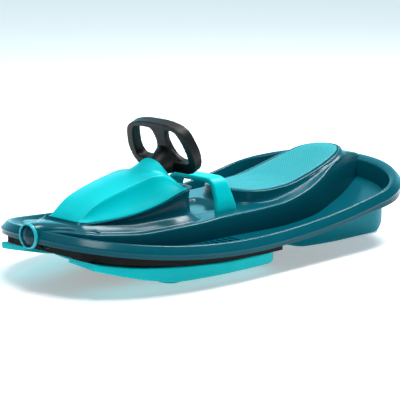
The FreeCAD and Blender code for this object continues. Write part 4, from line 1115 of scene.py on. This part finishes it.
# The record's slots, and the two looks of single pieces within a slot; the runner's look is the trim
# turquoise darkened as painted shade.
FINISHES = {
    "shell_teal": shell_material,
    "trim_turquoise": trim_material,
    "seat_foam": pad_material,
    "grip_black": grip_material,
    "frame_black": frame_material,
    "knob_blue": knob_material,
    "bush_nylon": nylon_material,
    "steel": steel_material,
    "runner": shaded_runner_material,
    "bezel": bezel_material,
}


def finish(slot):
    """The material of a slot, built the first time it is asked for."""
    return bpy.data.materials.get("finish_" + slot) or FINISHES[slot]()


def dress_nodes():
    """Gives every CAD node the procedural finish of its slot."""
    for entry in frame["record"]["subparts"]:
        materials = frame["nodes"][entry["node"]].data.materials
        materials.clear()
        materials.append(finish(entry["material_slot"]))


def studio_floor():
    """A wide sheet of pale paper that glows a little."""
    reach, glow = 40.0, 0.42
    paper, pale_paper = (0.88, 0.88, 0.88), (0.92, 0.92, 0.92)
    bm = bmesh.new()
    bmesh.ops.create_grid(bm, x_segments=1, y_segments=1, size=reach)
    floor = new_object("studio_floor", mesh_from("studio_floor", bm))
    material, tree, shader = new_material("studio_paper")
    surface = moulded_surface(tree)
    tone = two_tone(tree, (-500, 150), surface["Tone"], paper, pale_paper)
    tree.links.new(tone, shader.inputs["Base Color"])
    tree.links.new(tone, shader.inputs["Emission Color"])
    shader.inputs["Emission Strength"].default_value = glow
    hazy_gloss(tree, shader, surface, roughness=(0.8, 0.95))
    floor.data.materials.append(material)


def add_light(name, kind, power, place, turn):
    """Adds a light to the stage and gives its settings."""
    data = bpy.data.lights.new(name, kind)
    data.energy = power
    light = new_object(name, data)
    light.location = place
    light.rotation_euler = turn.to_euler()
    return data


def studio_sun(name, place, power, spread_angle):
    """A very soft, even light from the direction of a place."""
    data = add_light(name, "SUN", power, place, Vector(place).to_track_quat("Z", "Y"))
    data.angle = spread_angle


def studio_light(name, place, target, size, power):
    """A round soft box at a place, turned to its target."""
    turn = (Vector(target) - Vector(place)).to_track_quat("-Z", "Y")
    data = add_light(name, "AREA", power, place, turn)
    data.shape = "DISK"
    data.size = size


def studio_camera():
    """The photo's view: from the left front, a little above, with a long lens."""
    target = Vector((0.0, 0.0, 0.12))
    back = Vector((0.694, 0.690, 0.207)).normalized()
    distance = 4.4973
    data = bpy.data.cameras.new("camera")
    data.lens = 159.0
    data.sensor_width = 36.0
    data.shift_x = -0.008
    data.shift_y = 0.017
    camera = new_object("camera", data)
    camera.location = target + distance * back
    camera.rotation_euler = (-back).to_track_quat("-Z", "Y").to_euler()
    bpy.context.scene.camera = camera


def studio_world():
    """Dark room with a bright, cool backdrop low down on the far side, which the glossy shell mirrors."""
    above, side_wall, backdrop = (0.04, 0.06, 0.07), (0.03, 0.15, 0.18), (0.60, 1.70, 2.05)
    backdrop_way = (-0.709, -0.705, 0.0)
    world = bpy.data.worlds.new("studio")
    world.use_nodes = True
    tree = world.node_tree
    place = node_of(tree, "ShaderNodeTexCoord", (-1200, 0))
    split = node_of(tree, "ShaderNodeSeparateXYZ", (-1000, 200))
    tree.links.new(place.outputs["Generated"], split.inputs["Vector"])
    low = ramp(tree, (-800, 200), split.outputs["Z"], (0.40, 0.70), (1.0, 0.0), "SMOOTHSTEP")
    away = node_of(tree, "ShaderNodeVectorMath", (-1000, -100), operation="DOT_PRODUCT")
    away.inputs[1].default_value = backdrop_way
    tree.links.new(place.outputs["Generated"], away.inputs[0])
    far = ramp(tree, (-800, -100), away.outputs["Value"], (0.35, 0.85), (0.0, 1.0), "SMOOTHSTEP")
    sides = two_tone(tree, (-500, -100), far, side_wall, backdrop)
    room = two_tone(tree, (-250, 0), low, above, sides)
    tree.links.new(room, tree.nodes["Background"].inputs["Color"])
    bpy.context.scene.world = world
    bpy.context.scene.view_settings.view_transform = "Standard"


class SLED_OT_hull(bpy.types.Operator):
    """Build the moulded shell: rim, deck, wells, console and seat plinth"""

    bl_idname = "sled.hull"
    bl_label = "Hull"

    def execute(self, context):
        hull_rim()
        hull_spine()
        hull_floors()
        foot_ribs()
        hull_console()
        hull_plinth()
        return {"FINISHED"}


class SLED_OT_nose(bpy.types.Operator):
    """Build the nose barrel, its bezel, the reel case and the tow knob"""

    bl_idname = "sled.nose"
    bl_label = "Nose and tow knob"

    def execute(self, context):
        nose_ridge()
        nose_bezel()
        reel_case()
        tow_knob()
        return {"FINISHED"}


class SLED_OT_hood(bpy.types.Operator):
    """Build the console hood with its shroud"""

    bl_idname = "sled.hood"
    bl_label = "Hood"

    def execute(self, context):
        hood()
        return {"FINISHED"}


class SLED_OT_seat(bpy.types.Operator):
    """Build the seat pad"""

    bl_idname = "sled.seat"
    bl_label = "Seat pad"

    def execute(self, context):
        seat_pad()
        return {"FINISHED"}


class SLED_OT_wheel(bpy.types.Operator):
    """Build the steering wheel"""

    bl_idname = "sled.wheel"
    bl_label = "Steering wheel"

    def execute(self, context):
        steering_wheel()
        return {"FINISHED"}


class SLED_OT_brake(bpy.types.Operator):
    """Build the brake bail"""

    bl_idname = "sled.brake"
    bl_label = "Brake bail"

    def execute(self, context):
        brake_bail()
        return {"FINISHED"}


class SLED_OT_skis(bpy.types.Operator):
    """Build both skis and the rear runner"""

    bl_idname = "sled.skis"
    bl_label = "Skis and runner"

    def execute(self, context):
        ski(1.0, "left_ski")
        ski(-1.0, "right_ski")
        rear_runner()
        return {"FINISHED"}


class SLED_OT_mechanism(bpy.types.Operator):
    """Give the steering, brake and reel parts their finishes"""

    bl_idname = "sled.mechanism"
    bl_label = "Mechanism finishes"

    def execute(self, context):
        dress_nodes()
        return {"FINISHED"}


class SLED_OT_stage(bpy.types.Operator):
    """Set up the floor, the lights, the room and the camera"""

    bl_idname = "sled.stage"
    bl_label = "Studio stage"

    def execute(self, context):
        middle = (0.0, 0.0, 0.1)
        console = (0.1, 0.0, 0.1)
        studio_floor()
        studio_sun("sky", (-0.3, -0.7, 3.0), power=0.72, spread_angle=math.radians(70.0))
        studio_light("overhead", (0.7, 0.4, 3.0), middle, size=1.2, power=60.0)
        studio_light("rear", (-2.1, 0.05, 3.1), middle, size=1.5, power=150.0)
        studio_light("front", (2.4, 4.2, 0.9), console, size=2.4, power=12.0)
        studio_world()
        studio_camera()
        return {"FINISHED"}


STEPS = (
    SLED_OT_hull, SLED_OT_nose, SLED_OT_hood, SLED_OT_seat, SLED_OT_wheel, SLED_OT_brake, SLED_OT_skis,
    SLED_OT_mechanism, SLED_OT_stage,
)


class SLED_PT_build(bpy.types.Panel):
    """Sizes, colours and build steps of the sled"""

    bl_idname = "SLED_PT_build"
    bl_label = "Steering sled"
    bl_space_type = "VIEW_3D"
    bl_region_type = "UI"
    bl_category = "Sled"

    def draw(self, context):
        for group in (context.scene.sled_sizes, context.scene.sled_colours):
            box = self.layout.box()
            for name in group.__annotations__:
                box.prop(group, name)
        for step in STEPS:
            self.layout.operator(step.bl_idname)


CLASSES = (SledSizes, SledColours, *STEPS, SLED_PT_build)


def register():
    for cls in CLASSES:
        bpy.utils.register_class(cls)
    bpy.types.Scene.sled_sizes = bpy.props.PointerProperty(type=SledSizes)
    bpy.types.Scene.sled_colours = bpy.props.PointerProperty(type=SledColours)


def unregister():
    del bpy.types.Scene.sled_colours
    del bpy.types.Scene.sled_sizes
    for cls in reversed(CLASSES):
        bpy.utils.unregister_class(cls)


def main():
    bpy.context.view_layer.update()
    register()
    bpy.ops.sled.hull()
    bpy.ops.sled.nose()
    bpy.ops.sled.hood()
    bpy.ops.sled.seat()
    bpy.ops.sled.wheel()
    bpy.ops.sled.brake()
    bpy.ops.sled.skis()
    bpy.ops.sled.mechanism()
    bpy.ops.sled.stage()


if __name__ == "__main__":
    main()
